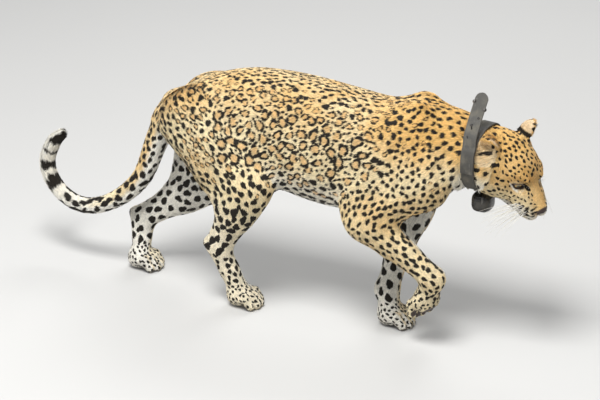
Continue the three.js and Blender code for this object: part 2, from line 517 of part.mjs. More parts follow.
// Fewer triangles where the surface is flat: edges are closed up in order of the error each makes,
// until only `count` triangles are left or the error passes `limit` millimetres.
function thin({ points, faces }, count, limit) {
  const vertices = points.length / 3;
  const total = faces.length / 3;
  const quadric = new Float64Array(vertices * 10);
  const alive = new Uint8Array(total).fill(1);
  const around = Array.from({ length: vertices }, () => []);
  const stamp = new Int32Array(vertices);
  const p = Float64Array.from(points);
  const f = Int32Array.from(faces);
  const normalOf = (a, b, c) => {
    const [ax, ay, az] = [p[a * 3], p[a * 3 + 1], p[a * 3 + 2]];
    const [bx, by, bz] = [p[b * 3] - ax, p[b * 3 + 1] - ay, p[b * 3 + 2] - az];
    const [cx, cy, cz] = [p[c * 3] - ax, p[c * 3 + 1] - ay, p[c * 3 + 2] - az];
    return [by * cz - bz * cy, bz * cx - bx * cz, bx * cy - by * cx];
  };
  for (let t = 0; t < total; t += 1) {
    const [a, b, c] = [f[t * 3], f[t * 3 + 1], f[t * 3 + 2]];
    const n = normalOf(a, b, c);
    const area = Math.hypot(...n);
    for (const v of [a, b, c]) around[v].push(t);
    if (area < 1e-9) continue;
    const [x, y, z] = n.map((s) => s / area);
    const w = -(x * p[a * 3] + y * p[a * 3 + 1] + z * p[a * 3 + 2]);
    const k = area / 6;
    const q = [x * x, x * y, x * z, x * w, y * y, y * z, y * w, z * z, z * w, w * w];
    for (const v of [a, b, c]) for (let i = 0; i < 10; i += 1) quadric[v * 10 + i] += q[i] * k;
  }
  const weight = new Float64Array(vertices);
  for (let v = 0; v < vertices; v += 1) weight[v] = quadric[v * 10] + quadric[v * 10 + 4] + quadric[v * 10 + 7];
  const errorAt = (q, x, y, z) => q[0] * x * x + 2 * q[1] * x * y + 2 * q[2] * x * z + 2 * q[3] * x
    + q[4] * y * y + 2 * q[5] * y * z + 2 * q[6] * y + q[7] * z * z + 2 * q[8] * z + q[9];
  const best = (a, b) => {
    const q = [];
    for (let i = 0; i < 10; i += 1) q.push(quadric[a * 10 + i] + quadric[b * 10 + i]);
    const A = [p[a * 3], p[a * 3 + 1], p[a * 3 + 2]];
    const B = [p[b * 3], p[b * 3 + 1], p[b * 3 + 2]];
    const M = mix(A, B, 0.5);
    const d = q[0] * (q[4] * q[7] - q[5] * q[5]) - q[1] * (q[1] * q[7] - q[5] * q[2]) + q[2] * (q[1] * q[5] - q[4] * q[2]);
    const size = (q[0] + q[4] + q[7]) / 3;
    const options = [M, A, B];
    if (Math.abs(d) > 1e-4 * size ** 3) {
      const r = [-q[3], -q[6], -q[8]];
      const x = (r[0] * (q[4] * q[7] - q[5] * q[5]) - q[1] * (r[1] * q[7] - q[5] * r[2]) + q[2] * (r[1] * q[5] - q[4] * r[2])) / d;
      const y = (q[0] * (r[1] * q[7] - r[2] * q[5]) - r[0] * (q[1] * q[7] - q[5] * q[2]) + q[2] * (q[1] * r[2] - r[1] * q[2])) / d;
      const z = (q[0] * (q[4] * r[2] - r[1] * q[5]) - q[1] * (q[1] * r[2] - r[1] * q[2]) + r[0] * (q[1] * q[5] - q[4] * q[2])) / d;
      if (Math.hypot(x - M[0], y - M[1], z - M[2]) < 2 * length(sub(A, B)) + 1e-3) options.unshift([x, y, z]);
    }
    let pick = null;
    for (const o of options) {
      const e = Math.max(0, errorAt(q, ...o)) / (weight[a] + weight[b] + 1e-12);
      if (!pick || e < pick.error) pick = { error: e, at: o };
    }
    // long thin closings cost a little, so that triangles stay even
    pick.cost = pick.error + 2e-5 * dot(sub(A, B), sub(A, B));
    return pick;
  };
  const heap = [];
  const push = (item) => {
    let i = heap.push(item) - 1;
    while (i > 0) {
      const up = (i - 1) >> 1;
      if (heap[up].cost <= heap[i].cost) break;
      [heap[up], heap[i]] = [heap[i], heap[up]];
      i = up;
    }
  };
  const pop = () => {
    const top = heap[0];
    const end = heap.pop();
    if (heap.length) {
      heap[0] = end;
      let i = 0;
      for (;;) {
        let low = i;
        const [l, r] = [2 * i + 1, 2 * i + 2];
        if (l < heap.length && heap[l].cost < heap[low].cost) low = l;
        if (r < heap.length && heap[r].cost < heap[low].cost) low = r;
        if (low === i) break;
        [heap[low], heap[i]] = [heap[i], heap[low]];
        i = low;
      }
    }
    return top;
  };
  const neighbours = (v) => {
    const set = new Set();
    for (const t of around[v]) for (let c = 0; c < 3; c += 1) if (f[t * 3 + c] !== v) set.add(f[t * 3 + c]);
    return set;
  };
  const offer = (a, b) => push({ ...best(a, b), a, b, sa: stamp[a], sb: stamp[b] });
  for (let t = 0; t < total; t += 1) {
    for (let c = 0; c < 3; c += 1) {
      const [a, b] = [f[t * 3 + c], f[t * 3 + ((c + 1) % 3)]];
      if (a < b) offer(a, b);
    }
  }
  let left = total;
  while (left > count && heap.length) {
    const e = pop();
    if (stamp[e.a] !== e.sa || stamp[e.b] !== e.sb) continue;
    if (Math.sqrt(e.error) > limit) break;
    const [a, b] = [e.a, e.b];
    const na = neighbours(a);
    const nb = neighbours(b);
    let shared = 0;
    for (const v of na) if (nb.has(v)) shared += 1;
    if (shared !== 2 || na.size + nb.size - 4 < 3) continue;
    let fits = true;
    const old = [p[a * 3], p[a * 3 + 1], p[a * 3 + 2], p[b * 3], p[b * 3 + 1], p[b * 3 + 2]];
    const kept = [];
    for (const v of [a, b]) {
      for (const t of around[v]) {
        const tri = [f[t * 3], f[t * 3 + 1], f[t * 3 + 2]];
        if (tri.includes(a) && tri.includes(b)) continue;
        kept.push([tri, normalOf(...tri)]);
      }
    }
    for (let c = 0; c < 3; c += 1) { p[a * 3 + c] = e.at[c]; p[b * 3 + c] = e.at[c]; }
    for (const [tri, before] of kept) {
      const after = normalOf(...tri);
      const [lb, la] = [length(before), length(after)];
      if (lb < 1e-7) continue;
      if (la < 1e-7 || dot(before, after) < 0.15 * lb * la) { fits = false; break; }
    }
    if (!fits) {
      for (let c = 0; c < 3; c += 1) { p[a * 3 + c] = old[c]; p[b * 3 + c] = old[3 + c]; }
      continue;
    }
    for (let i = 0; i < 10; i += 1) quadric[a * 10 + i] += quadric[b * 10 + i];
    weight[a] += weight[b];
    const list = [];
    for (const t of around[b]) {
      const tri = [f[t * 3], f[t * 3 + 1], f[t * 3 + 2]];
      if (tri.includes(a)) {
        alive[t] = 0;
        left -= 1;
        for (const v of tri) if (v !== b) around[v] = around[v].filter((s) => s !== t);
      } else {
        for (let c = 0; c < 3; c += 1) if (f[t * 3 + c] === b) f[t * 3 + c] = a;
        list.push(t);
      }
    }
    around[a] = around[a].concat(list);
    around[b] = [];
    stamp[b] = -1;
    stamp[a] += 1;
    for (const v of neighbours(a)) offer(a, v);
  }
  const number = new Map();
  const outPoints = [];
  const outFaces = [];
  for (let t = 0; t < total; t += 1) {
    if (!alive[t]) continue;
    for (let c = 0; c < 3; c += 1) {
      const v = f[t * 3 + c];
      if (!number.has(v)) {
        number.set(v, outPoints.length / 3);
        outPoints.push(p[v * 3], p[v * 3 + 1], p[v * 3 + 2]);
      }
      outFaces.push(number.get(v));
    }
  }
  return { points: Float64Array.from(outPoints), faces: Int32Array.from(outFaces) };
}

// Closed body from a mesh.
function solid({ points, faces }) {
  return new wasm.Manifold(new wasm.Mesh({
    numProp: 3, vertProperties: Float32Array.from(points), triVerts: Uint32Array.from(faces),
  }));
}
function fromGeometry(geometry, matrix = null) {
  const bare = new THREE.BufferGeometry();
  bare.setAttribute('position', geometry.getAttribute('position').clone());
  if (geometry.index) bare.setIndex(geometry.index);
  const merged = mergeVertices(bare, 1e-4);
  if (matrix) merged.applyMatrix4(matrix);
  return solid({ points: merged.getAttribute('position').array, faces: merged.index.array });
}
function toGeometry(shape) {
  const mesh = shape.getMesh();
  const geometry = new THREE.BufferGeometry();
  geometry.setAttribute('position', new THREE.BufferAttribute(Float32Array.from(mesh.vertProperties), 3));
  geometry.setIndex(new THREE.BufferAttribute(Uint32Array.from(mesh.triVerts), 1));
  return geometry;
}
function largest(shape) {
  let pick = null;
  for (const piece of shape.decompose()) if (!pick || piece.volume() > pick.volume()) pick = piece;
  return pick;
}

// Box with its centre, sizes and own axes.
function block(centre, size, turn = [[1, 0, 0], [0, 1, 0], [0, 0, 1]]) {
  const [b, c] = [turn[1], turn[2]];
  const a = cross(b, c);
  const matrix = new THREE.Matrix4().set(
    a[0], b[0], c[0], centre[0], a[1], b[1], c[1], centre[1], a[2], b[2], c[2], centre[2], 0, 0, 0, 1,
  );
  return fromGeometry(new THREE.BoxGeometry(...size), matrix);
}
// Everything beyond the plane through a point, on the side its normal points to.
function beyond(point, normal) {
  const n = unit(normal);
  const side = unit(cross(Math.abs(n[2]) < 0.9 ? [0, 0, 1] : [0, 1, 0], n));
  return block(add(point, scale(n, 1000)), [2000, 2000, 2000], [n, side, cross(n, side)]);
}
// The same plane seen from its other side, a gap back.
const behind = (point, normal) => beyond(sub(point, scale(unit(normal), GAP)), scale(normal, -1));

// Space that one leg takes: a leaning box on its side (-1 right, 1 left) and a box under the belly.
function legSpace(side, { back, front, inner, floor }, grow) {
  const lean = unit([0, side * 0.391, 0.92]);
  const out = unit([0, side * 0.92, -0.391]);
  const corner = sub(add([0, side * inner[0], inner[1]], scale(lean, -60)), add(scale(out, grow), scale(lean, grow)));
  const [wide, tall, long] = [400, 420, front - back + 2 * grow];
  const centre = add(add(corner, scale(out, wide / 2)), scale(lean, tall / 2));
  const upper = block([(back + front) / 2, centre[1], centre[2]], [long, wide, tall], [[1, 0, 0], out, lean]);
  const lower = block([(back + front) / 2, 0, (floor + grow) / 2 - 50], [long, 600, floor + grow + 100]);
  return upper.add(lower);
}
const HIND_SPACE = { back: -640, front: -35, inner: [45, 400], floor: 352 };
const FORE_SPACE = { back: 160, front: 520, inner: [42, 352], floor: 328 };
const LEGS = [
  { name: 'hindleg_right', paw: 'hindpaw_right', side: -1, field: hindRight, k: 50, space: HIND_SPACE, box: [[-360, -190, -30], [-10, 0, 640]],
    cut: [[-178, -60, 82], [0.28, 0.1, -0.95]], foot: [[-215, -110, -12], [-60, 0, 130]] },
  { name: 'hindleg_left', paw: 'hindpaw_left', side: 1, field: hindLeft, k: 50, space: HIND_SPACE, box: [[-640, 0, -30], [-10, 190, 640]],
    cut: [[-533, 54, 82], [0, 0.1, -1]], foot: [[-590, 0, -12], [-440, 110, 130]] },
  { name: 'foreleg_right', paw: 'forepaw_right', side: -1, field: foreRight, k: 40, space: FORE_SPACE, box: [[160, -190, 50], [530, 0, 640]],
    cut: [[424, -75, 186], [-0.37, 0.3, -0.88]], foot: [[330, -130, 60], [490, 0, 240]] },
  { name: 'foreleg_left', paw: 'forepaw_left', side: 1, field: foreLeft, k: 40, space: FORE_SPACE, box: [[160, -30, -30], [530, 190, 640]],
    cut: [[252, 30, 74], [0.15, -0.1, -1]], foot: [[205, -40, -12], [360, 90, 120]] },
];
const NECK_BACK = { at: [440, 0, 560], normal: [0.97, 0, 0.12] };
const NECK_FRONT = { at: [529, 0, 570], normal: [Math.cos(0.07), 0, -Math.sin(0.07)] };
const TAIL_ROOT = { at: [-420, 0, 492], normal: [-0.9, 0, -0.43] };
const TAIL_CUTS = [
  { at: [-518, 3, 274], normal: [-0.64, 0, -0.76] }, { at: [-690, 12, 175], normal: [-1, 0, 0] },
  { at: [-826, 30, 265], normal: [0, 0, 1] },
];
const EAR_CUT = 9;
const EAR_BOX = [100, 88, 92];

const SKULL = { at: [-80, 0, 2], half: [84, 69, 62] };

const nodes = [];
const FUR = { color: 0xc79a5c, roughness: 0.9, metalness: 0 };
const PALE_FUR = { color: 0xd9c39c, roughness: 0.92, metalness: 0 };
function keep(name, shape, look) {
  nodes.push({ name, shape: largest(shape), look });
}

// Collar strap: a rounded flat band swept round the neck. The angle starts at the nape.
function strapLine(angle) {
  const bend = (v) => Math.sign(v) * Math.abs(v) ** (2 / STRAP.power);
  const z = (Math.cos(angle) > 0 ? STRAP.over : STRAP.under) * bend(Math.cos(angle));
  const y = STRAP.side * bend(Math.sin(angle));
  return [STRAP.x + z * Math.tan((STRAP.lean * Math.PI) / 180), y, STRAP.z + z];
}
function strapFrame(angle) {
  const along = unit(sub(strapLine(angle + 1e-3), strapLine(angle - 1e-3)));
  const lean = (STRAP.lean * Math.PI) / 180;
  const across = [Math.cos(lean), 0, -Math.sin(lean)];
  const out = unit(cross(across, along));
  return { at: strapLine(angle), across, out };
}
// Flat band swept along frames, each with a place, an across and an outward direction and a half width.
function sweep(frames, thick, grow, closed) {
  const points = [];
  const faces = [];
  const t = thick / 2 + grow;
  const r = STRAP.round;
  for (const f of frames) {
    const w = f.half + grow;
    const profile = [[-w + r, -t], [w - r, -t], [w, -t + r], [w, t - r], [w - r, t], [-w + r, t], [-w, t - r], [-w, -t + r]];
    for (const [a, o] of profile) points.push(...add(f.at, add(scale(f.across, a), scale(f.out, o))));
  }
  const n = 8;
  const count = frames.length;
  for (let i = 0; i < (closed ? count : count - 1); i += 1) {
    for (let j = 0; j < n; j += 1) {
      const next = ((i + 1) % count) * n;
      const [a, b, c, d] = [i * n + j, i * n + ((j + 1) % n), next + j, next + ((j + 1) % n)];
      if (j < 3 || j > 6) faces.push(a, c, b, b, c, d);
      else faces.push(a, c, d, a, d, b);
    }
  }
  if (!closed) {
    const end = (count - 1) * n;
    for (let j = 1; j < n - 1; j += 1) faces.push(0, j, j + 1, end, end + j + 1, end + j);
  }
  return solid({ points, faces });
}
function makeStrap(grow, steps = 36) {
  const frames = [];
  for (let i = 0; i < steps; i += 1) frames.push({ ...strapFrame((i / steps) * 2 * Math.PI), half: STRAP.width / 2 });
  return sweep(frames, STRAP.thick, grow, true);
}
function makeFreeEnd() {
  const lift = STRAP.thick + 3.5 * GAP;
  const rad = Math.PI / 180;
  const stations = [];
  for (let a = FREE_END.from; a <= FREE_END.to; a += 11) {
    const f = strapFrame(a * rad);
    stations.push(add(f.at, scale(f.out, lift)));
  }
  const line = smoothLine([...stations, ...FREE_END.stand, FREE_END.tip], 3);
  const across = strapFrame(0).across;
  const frames = line.map((p, i) => {
    const along = unit(sub(line[Math.min(i + 1, line.length - 1)], line[Math.max(i - 1, 0)]));
    const left = Math.hypot(...sub(FREE_END.tip, p));
    const full = STRAP.width / 2;
    const half = left < full ? Math.max(7, Math.sqrt(full * full - (full - left) ** 2)) : full;
    const flat = unit(sub(across, scale(along, dot(across, along))));
    return { at: p, across: flat, out: unit(cross(flat, along)), half: i === 0 ? full - 4 : half };
  });
  return { shape: sweep(frames, STRAP.thick, 0, false), frames };
}
// Round bolt head on a face, a gap off it.
function makeBolt(f, across) {
  const centre = add(add(f.at, scale(f.across, across)), scale(f.out, STRAP.thick / 2 + GAP + BOLT.height / 2));
  const up = new THREE.Quaternion().setFromUnitVectors(new THREE.Vector3(0, 1, 0), new THREE.Vector3(...f.out));
  const matrix = new THREE.Matrix4().compose(new THREE.Vector3(...centre), up, new THREE.Vector3(1, 1, 1));
  return fromGeometry(new THREE.CylinderGeometry(BOLT.radius * 0.8, BOLT.radius, BOLT.height, 12), matrix);
}
function makeKnob(f, side) {
  const centre = add(f.at, scale(f.across, side * (f.half - 2)));
  const place = new THREE.Matrix4().makeTranslation(...centre);
  return fromGeometry(new THREE.IcosahedronGeometry(KNOB.radius, 1), place);
}
function makeHousing(grow) {
  const sphere = new THREE.SphereGeometry(1, 20, 10);
  const p = sphere.getAttribute('position');
  for (let i = 0; i < p.count; i += 1) {
    const v = [p.getX(i), p.getY(i), p.getZ(i)];
    const k = 1 / (Math.abs(v[0]) ** HOUSING.power + Math.abs(v[1]) ** HOUSING.power + Math.abs(v[2]) ** HOUSING.power) ** (1 / HOUSING.power);
    p.setXYZ(i, ...v.map((c, j) => c * k * (HOUSING.half[j] + grow) + HOUSING.at[j]));
  }
  return fromGeometry(sphere);
}

function build() {
  // head with its ears, eye sockets and the front of the neck
  const headMesh = thin(surface(body, [500, -135, 375], [760, 135, 690], 2.5), 4300, 0.6);
  const strapRoom = makeStrap(GAP);
  const housingRoom = makeHousing(GAP);
  const end = makeFreeEnd();
  const endRoom = sweep(end.frames, STRAP.thick, GAP, false);
  const collarRoom = strapRoom.add(housingRoom).add(endRoom);
  let skull = solid(headMesh).intersect(beyond(NECK_FRONT.at, NECK_FRONT.normal));
  const eyes = [];
  for (const side of [1, -1]) {
    const centre = fromHead([EYE.at[0], EYE.at[1] * side, EYE.at[2]]);
    const place = new THREE.Matrix4().makeTranslation(...centre);
    eyes.push(fromGeometry(new THREE.IcosahedronGeometry(EYE.radius, 3), place));
    skull = skull.subtract(fromGeometry(new THREE.IcosahedronGeometry(EYE.radius + GAP, 3), place));
  }
  skull = skull.subtract(collarRoom);
  for (const [side, ear, name] of [[1, EAR_LEFT, 'ear_left'], [-1, EAR_RIGHT, 'ear_right']]) {
    const away = unit(sub(ear.at, SKULL.at));
    const reach = 1 / Math.hypot(...away.map((v, i) => v / SKULL.half[i])) + EAR_CUT;
    const flip = (p) => [p[0], p[1] * side, p[2]];
    const foot = fromHead(flip(add(SKULL.at, scale(away, reach))));
    const out = sub(foot, fromHead(flip(SKULL.at)));
    const n = unit(out);
    const along = unit(cross([0, 1, 0], n));
    const turn = [n, cross(along, n), along];
    const centre = add(foot, scale(n, 50));
    keep(name, skull.intersect(block(centre, EAR_BOX, turn)), FUR);
    skull = skull.subtract(block(centre, EAR_BOX.map((v) => v + 2 * GAP), turn));
  }
  keep('head', skull, FUR);
  keep('eye_left', eyes[0], { color: 0x9a7a2c, roughness: 0.08, metalness: 0 });
  keep('eye_right', eyes[1], { color: 0x9a7a2c, roughness: 0.08, metalness: 0 });

  // neck
  const neckMesh = thin(surface(body, [415, -150, 380], [570, 150, 720], 7), 700, 1.2);
  keep('neck', solid(neckMesh).intersect(beyond(NECK_BACK.at, NECK_BACK.normal))
    .intersect(behind(NECK_FRONT.at, NECK_FRONT.normal)).subtract(collarRoom), FUR);

  // trunk without legs and tail
  let torso = solid(thin(surface(body, [-470, -170, 300], [480, 170, 730], 9.5), 2500, 1.6))
    .intersect(behind(NECK_BACK.at, NECK_BACK.normal)).subtract(beyond(TAIL_ROOT.at, TAIL_ROOT.normal));
  const rear = (x, y, z) => softMin(trunk(x, y, z), tail(x, y, z), 1 + 29 * ease((z - 400) / 80));
  for (const leg of LEGS) torso = torso.subtract(legSpace(leg.side, leg.space, GAP));
  keep('torso', torso, FUR);

  for (const leg of LEGS) {
    const whole = (x, y, z) => softMin(trunk(x, y, z), leg.field(x, y, z), leg.k);
    const mesh = thin(surface(whole, leg.box[0], leg.box[1], 6.5), 900, 1.2);
    const limbSolid = solid(mesh).intersect(legSpace(leg.side, leg.space, 0)).intersect(behind(NECK_BACK.at, NECK_BACK.normal));
    keep(leg.name, limbSolid.intersect(behind(leg.cut[0], leg.cut[1])), PALE_FUR);
    const foot = thin(surface(leg.field, leg.foot[0], leg.foot[1], 3), 520, 0.8);
    keep(leg.paw, solid(foot).intersect(beyond(leg.cut[0], leg.cut[1])).intersect(beyond([0, 0, 0], [0, 0, 1])), PALE_FUR);
  }

  // tail in four lengths
  let rest = solid(thin(surface(rear, [-880, -70, 120], [-340, 110, 600], 5), 900, 0.7))
    .intersect(beyond(sub(TAIL_ROOT.at, scale(unit(TAIL_ROOT.normal), -GAP)), TAIL_ROOT.normal));
  const names = ['tail_root', 'tail_middle', 'tail_bend', 'tail_tip'];
  TAIL_CUTS.forEach((cut, i) => {
    keep(names[i], rest.intersect(behind(cut.at, cut.normal)), FUR);
    rest = rest.intersect(beyond(cut.at, cut.normal));
  });
  keep(names[3], rest, { color: 0x2a241d, roughness: 0.9, metalness: 0 });

  // collar
  const webbing = { color: 0x6e6c6c, roughness: 0.85, metalness: 0 };
  const dark = { color: 0x1a1816, roughness: 0.5, metalness: 0.2 };
  const pale = { color: 0xb9b5aa, roughness: 0.4, metalness: 0.6 };
  keep('collar_strap', makeStrap(0), webbing);
  keep('collar_end', end.shape, webbing);
  const joint = end.frames;
  keep('collar_bolt_1', makeBolt(joint[18], -4).subtract(endRoom), dark);
  keep('collar_bolt_2', makeBolt(joint[20], 8).subtract(endRoom), dark);
  const low = strapFrame((-157 * Math.PI) / 180);
  keep('collar_bolt_3', makeBolt(low, -11), pale);
  keep('collar_bolt_4', makeBolt(low, 9), pale);
  keep('collar_knob_back', makeKnob(joint[joint.length - 5], -1).subtract(endRoom), dark);
  keep('collar_knob_front', makeKnob(joint[joint.length - 6], 1).subtract(endRoom), dark);
  keep('collar_housing', makeHousing(0).subtract(strapRoom), { color: 0x14120f, roughness: 0.35, metalness: 0 });
}
build();

const leopard = new THREE.Group();
leopard.name = 'collared_leopard';
const box = new THREE.Box3();
const meshes = nodes.map(({ name, shape, look }) => {
  const mesh = new THREE.Mesh(toGeometry(shape), new THREE.MeshStandardMaterial(look));
  mesh.name = name;
  mesh.geometry.computeBoundingBox();
  box.union(mesh.geometry.boundingBox);
  return mesh;
});
// the origin sits on the ground under the middle of the whole animal
const middle = box.getCenter(new THREE.Vector3());
for (const mesh of meshes) {
  mesh.position.set(-middle.x, -middle.y, 0);
  leopard.add(mesh);
}

export default leopard;
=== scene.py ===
"""A life-size leopard in mid stride with a radio collar: skin, coat, eyes, whiskers and collar.

Shapes are worked out in millimetres with x forward, y to the animal's left and z up, the same
sizes as the solids use, and are moved into the frame and turned into metres when a mesh is made.
"""
from __future__ import annotations

import logging
import math
from dataclasses import dataclass, field, fields
from enum import Enum
from typing import Callable, Sequence

import bpy
import numpy as np
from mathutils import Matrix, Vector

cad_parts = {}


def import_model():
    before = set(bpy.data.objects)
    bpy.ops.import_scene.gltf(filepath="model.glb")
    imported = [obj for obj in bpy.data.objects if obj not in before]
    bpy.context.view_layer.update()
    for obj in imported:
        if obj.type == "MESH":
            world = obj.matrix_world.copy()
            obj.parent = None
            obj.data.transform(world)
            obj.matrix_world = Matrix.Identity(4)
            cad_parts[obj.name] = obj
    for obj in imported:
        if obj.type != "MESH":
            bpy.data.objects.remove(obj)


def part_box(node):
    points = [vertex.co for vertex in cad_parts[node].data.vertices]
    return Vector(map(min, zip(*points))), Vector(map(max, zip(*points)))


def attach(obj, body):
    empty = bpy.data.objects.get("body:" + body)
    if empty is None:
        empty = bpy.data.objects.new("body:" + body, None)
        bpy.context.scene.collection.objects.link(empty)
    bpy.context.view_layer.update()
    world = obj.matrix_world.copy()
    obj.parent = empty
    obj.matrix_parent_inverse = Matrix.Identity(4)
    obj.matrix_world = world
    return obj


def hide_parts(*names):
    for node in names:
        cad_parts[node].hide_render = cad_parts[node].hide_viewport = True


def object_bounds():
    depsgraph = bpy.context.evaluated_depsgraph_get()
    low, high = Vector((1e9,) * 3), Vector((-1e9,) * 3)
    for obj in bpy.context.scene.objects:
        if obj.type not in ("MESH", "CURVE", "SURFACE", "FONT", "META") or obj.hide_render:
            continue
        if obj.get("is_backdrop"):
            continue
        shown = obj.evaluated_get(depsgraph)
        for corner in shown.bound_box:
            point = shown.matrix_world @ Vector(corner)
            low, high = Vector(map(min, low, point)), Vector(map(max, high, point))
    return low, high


log = logging.getLogger("leopard")

MM = 0.001
ROOT = "root"
BAKE_MAP = "OFBake"

Array = np.ndarray
Field = Callable[[Array], Array]
Vec = Sequence[float]
Thing = bpy.types.Object
Material = bpy.types.Material
Tree = bpy.types.NodeTree
Socket = bpy.types.NodeSocket


# Sums on fields and lists of points


def ease(v: Array) -> Array:
    """Smooth step from 0 to 1."""
    t = np.clip(v, 0.0, 1.0)
    return t * t * (3 - 2 * t)


def soft_min(a: Array, b: Array, k: Array | float) -> Array:
    """Smaller of two distances, blended over a width k."""
    h = np.maximum(k - np.abs(a - b), 0.0) / k
    return np.minimum(a, b) - h * h * k * 0.25


def soft_max(a: Array, b: Array, k: float) -> Array:
    """Larger of two distances, blended over a width k."""
    return -soft_min(-a, -b, k)


def vec(*values: float) -> Array:
    """A place or direction."""
    return np.array(values, float)


def unit(v: Array) -> Array:
    """Vectors brought to length one."""
    v = np.asarray(v, float)
    return v / np.maximum(np.linalg.norm(v, axis=-1, keepdims=True), 1e-9)


def mix(a: Vec, b: Vec, t: float | Array) -> Array:
    """Places or sizes part of the way from a to b."""
    return np.asarray(a, float) * (1 - t) + np.asarray(b, float) * t


def axes(pitch: float, yaw: float, roll: float) -> Array:
    """Rows of local axes: forward, left, up.

    Args:
        pitch: Degrees that the nose points up.
        yaw: Degrees turned to the left.
        roll: Degrees that the left side is raised.

    Returns:
        The three axes as rows.
    """
    p, y, r = np.radians([pitch, yaw, roll])
    about_y = np.array([[np.cos(p), 0, -np.sin(p)], [0, 1, 0], [np.sin(p), 0, np.cos(p)]])
    about_z = np.array([[np.cos(y), -np.sin(y), 0], [np.sin(y), np.cos(y), 0], [0, 0, 1]])
    about_x = np.array([[1, 0, 0], [0, np.cos(r), -np.sin(r)], [0, np.sin(r), np.cos(r)]])
    return (about_z @ about_y @ about_x).T


def bar(p: Array, a: Vec, b: Vec, ra: float, rb: float, fa: float = 1.0, fb: float | None = None) -> Array:
    """Distance to a bar whose radius and sideways flatness change from end to end.

    Args:
        p: Places.
        a: Start of the bar.
        b: End of the bar.
        ra: Radius at the start.
        rb: Radius at the end.
        fa: Width to height at the start.
        fb: Width to height at the end, or none for the same.

    Returns:
        One distance for each place, below zero inside.
    """
    fb = fa if fb is None else fb
    start = np.asarray(a, float)
    line = np.asarray(b, float) - start
    h = np.clip((p - start) @ line / (line @ line), 0, 1)
    v = p - start - h[:, None] * line
    flat = fa + (fb - fa) * h
    d = np.sqrt(v[:, 0] ** 2 + (v[:, 1] / flat) ** 2 + v[:, 2] ** 2)
    return (d - ra - (rb - ra) * h) * np.sqrt(np.minimum(flat, 1))


def ball(p: Array, centre: Vec, radii: Vec, turn: Array | None = None) -> Array:
    """Distance to an ellipsoid.

    Args:
        p: Places.
        centre: Its middle.
        radii: Its three radii.
        turn: Its own axes as rows, or none for the makers' axes.

    Returns:
        One distance for each place, below zero inside.
    """
    q = p - np.asarray(centre, float)
    if turn is not None:
        q = q @ turn.T
    r = np.asarray(radii, float)
    k0 = np.sqrt(((q / r) ** 2).sum(1)) + 1e-6
    k1 = np.sqrt(((q / (r * r)) ** 2).sum(1)) + 1e-9
    return k0 * (k0 - 1) / k1


def smooth_line(stations: Sequence[Vec], n: int) -> Array:
    """Smooth line through stations with n pieces between each two."""
    s = np.array(stations, float)
    s = np.vstack([2 * s[0] - s[1], s, 2 * s[-1] - s[-2]])
    out = []
    for i in range(1, len(s) - 2):
        for j in range(n):
            t = j / n
            p, q, r, w = s[i - 1: i + 3]
            bend = (2 * p - 5 * q + 4 * r - w) * t * t + (3 * q - p - 3 * r + w) * t ** 3
            out.append(0.5 * (2 * q + (r - p) * t + bend))
    out.append(s[-2])
    return np.array(out)


def limb(p: Array, stations: Sequence[tuple], n: int = 2) -> Array:
    """Distance to a limb through stations of place, radius and flatness, with n bars between two."""
    line = smooth_line([(*place, radius, flat) for place, radius, flat in stations], n)
    d = None
    for a, b in zip(line[:-1], line[1:]):
        one = bar(p, a[:3], b[:3], a[3], b[3], a[4], b[4])
        d = one if d is None else np.minimum(d, one)
    return d


def fuse(parts: Sequence[Array], k: float) -> Array:
    """Blend of several distances."""
    d = parts[0]
    for part in parts[1:]:
        d = soft_min(d, part, k)
    return d


def within(shape: Field, p: Array, corners: Sequence[Vec], pad: float) -> Array:
    """A field worked out only near some places.

    Args:
        shape: The field.
        p: Places.
        corners: Places whose box, with the pad round it, holds the field's surface.
        pad: Room round the box.

    Returns:
        The field in the box, and a growing distance outside it.
    """
    c = np.array(corners, float)
    out = np.maximum(c.min(0) - pad - p, p - c.max(0) - pad).max(1)
    d = 60 + out
    near = out <= 0
    if near.any():
        d[near] = shape(p[near])
    return d


def ripple(p: Array, length: float, seed: int) -> Array:
    """Smooth uneven values from about -1 to 1.

    Args:
        p: Places.
        length: Size of the unevenness in millimetres.
        seed: Chooses one pattern.

    Returns:
        One value for each place.
    """
    rng = np.random.default_rng(seed)
    total = np.zeros(len(p))
    for _ in range(6):
        direction = unit(rng.normal(size=3)) * 2 * math.pi / length * rng.uniform(0.6, 1.5)
        total += np.sin(p @ direction + rng.uniform(0, 6.28))
    return total / 3


# The animal's form


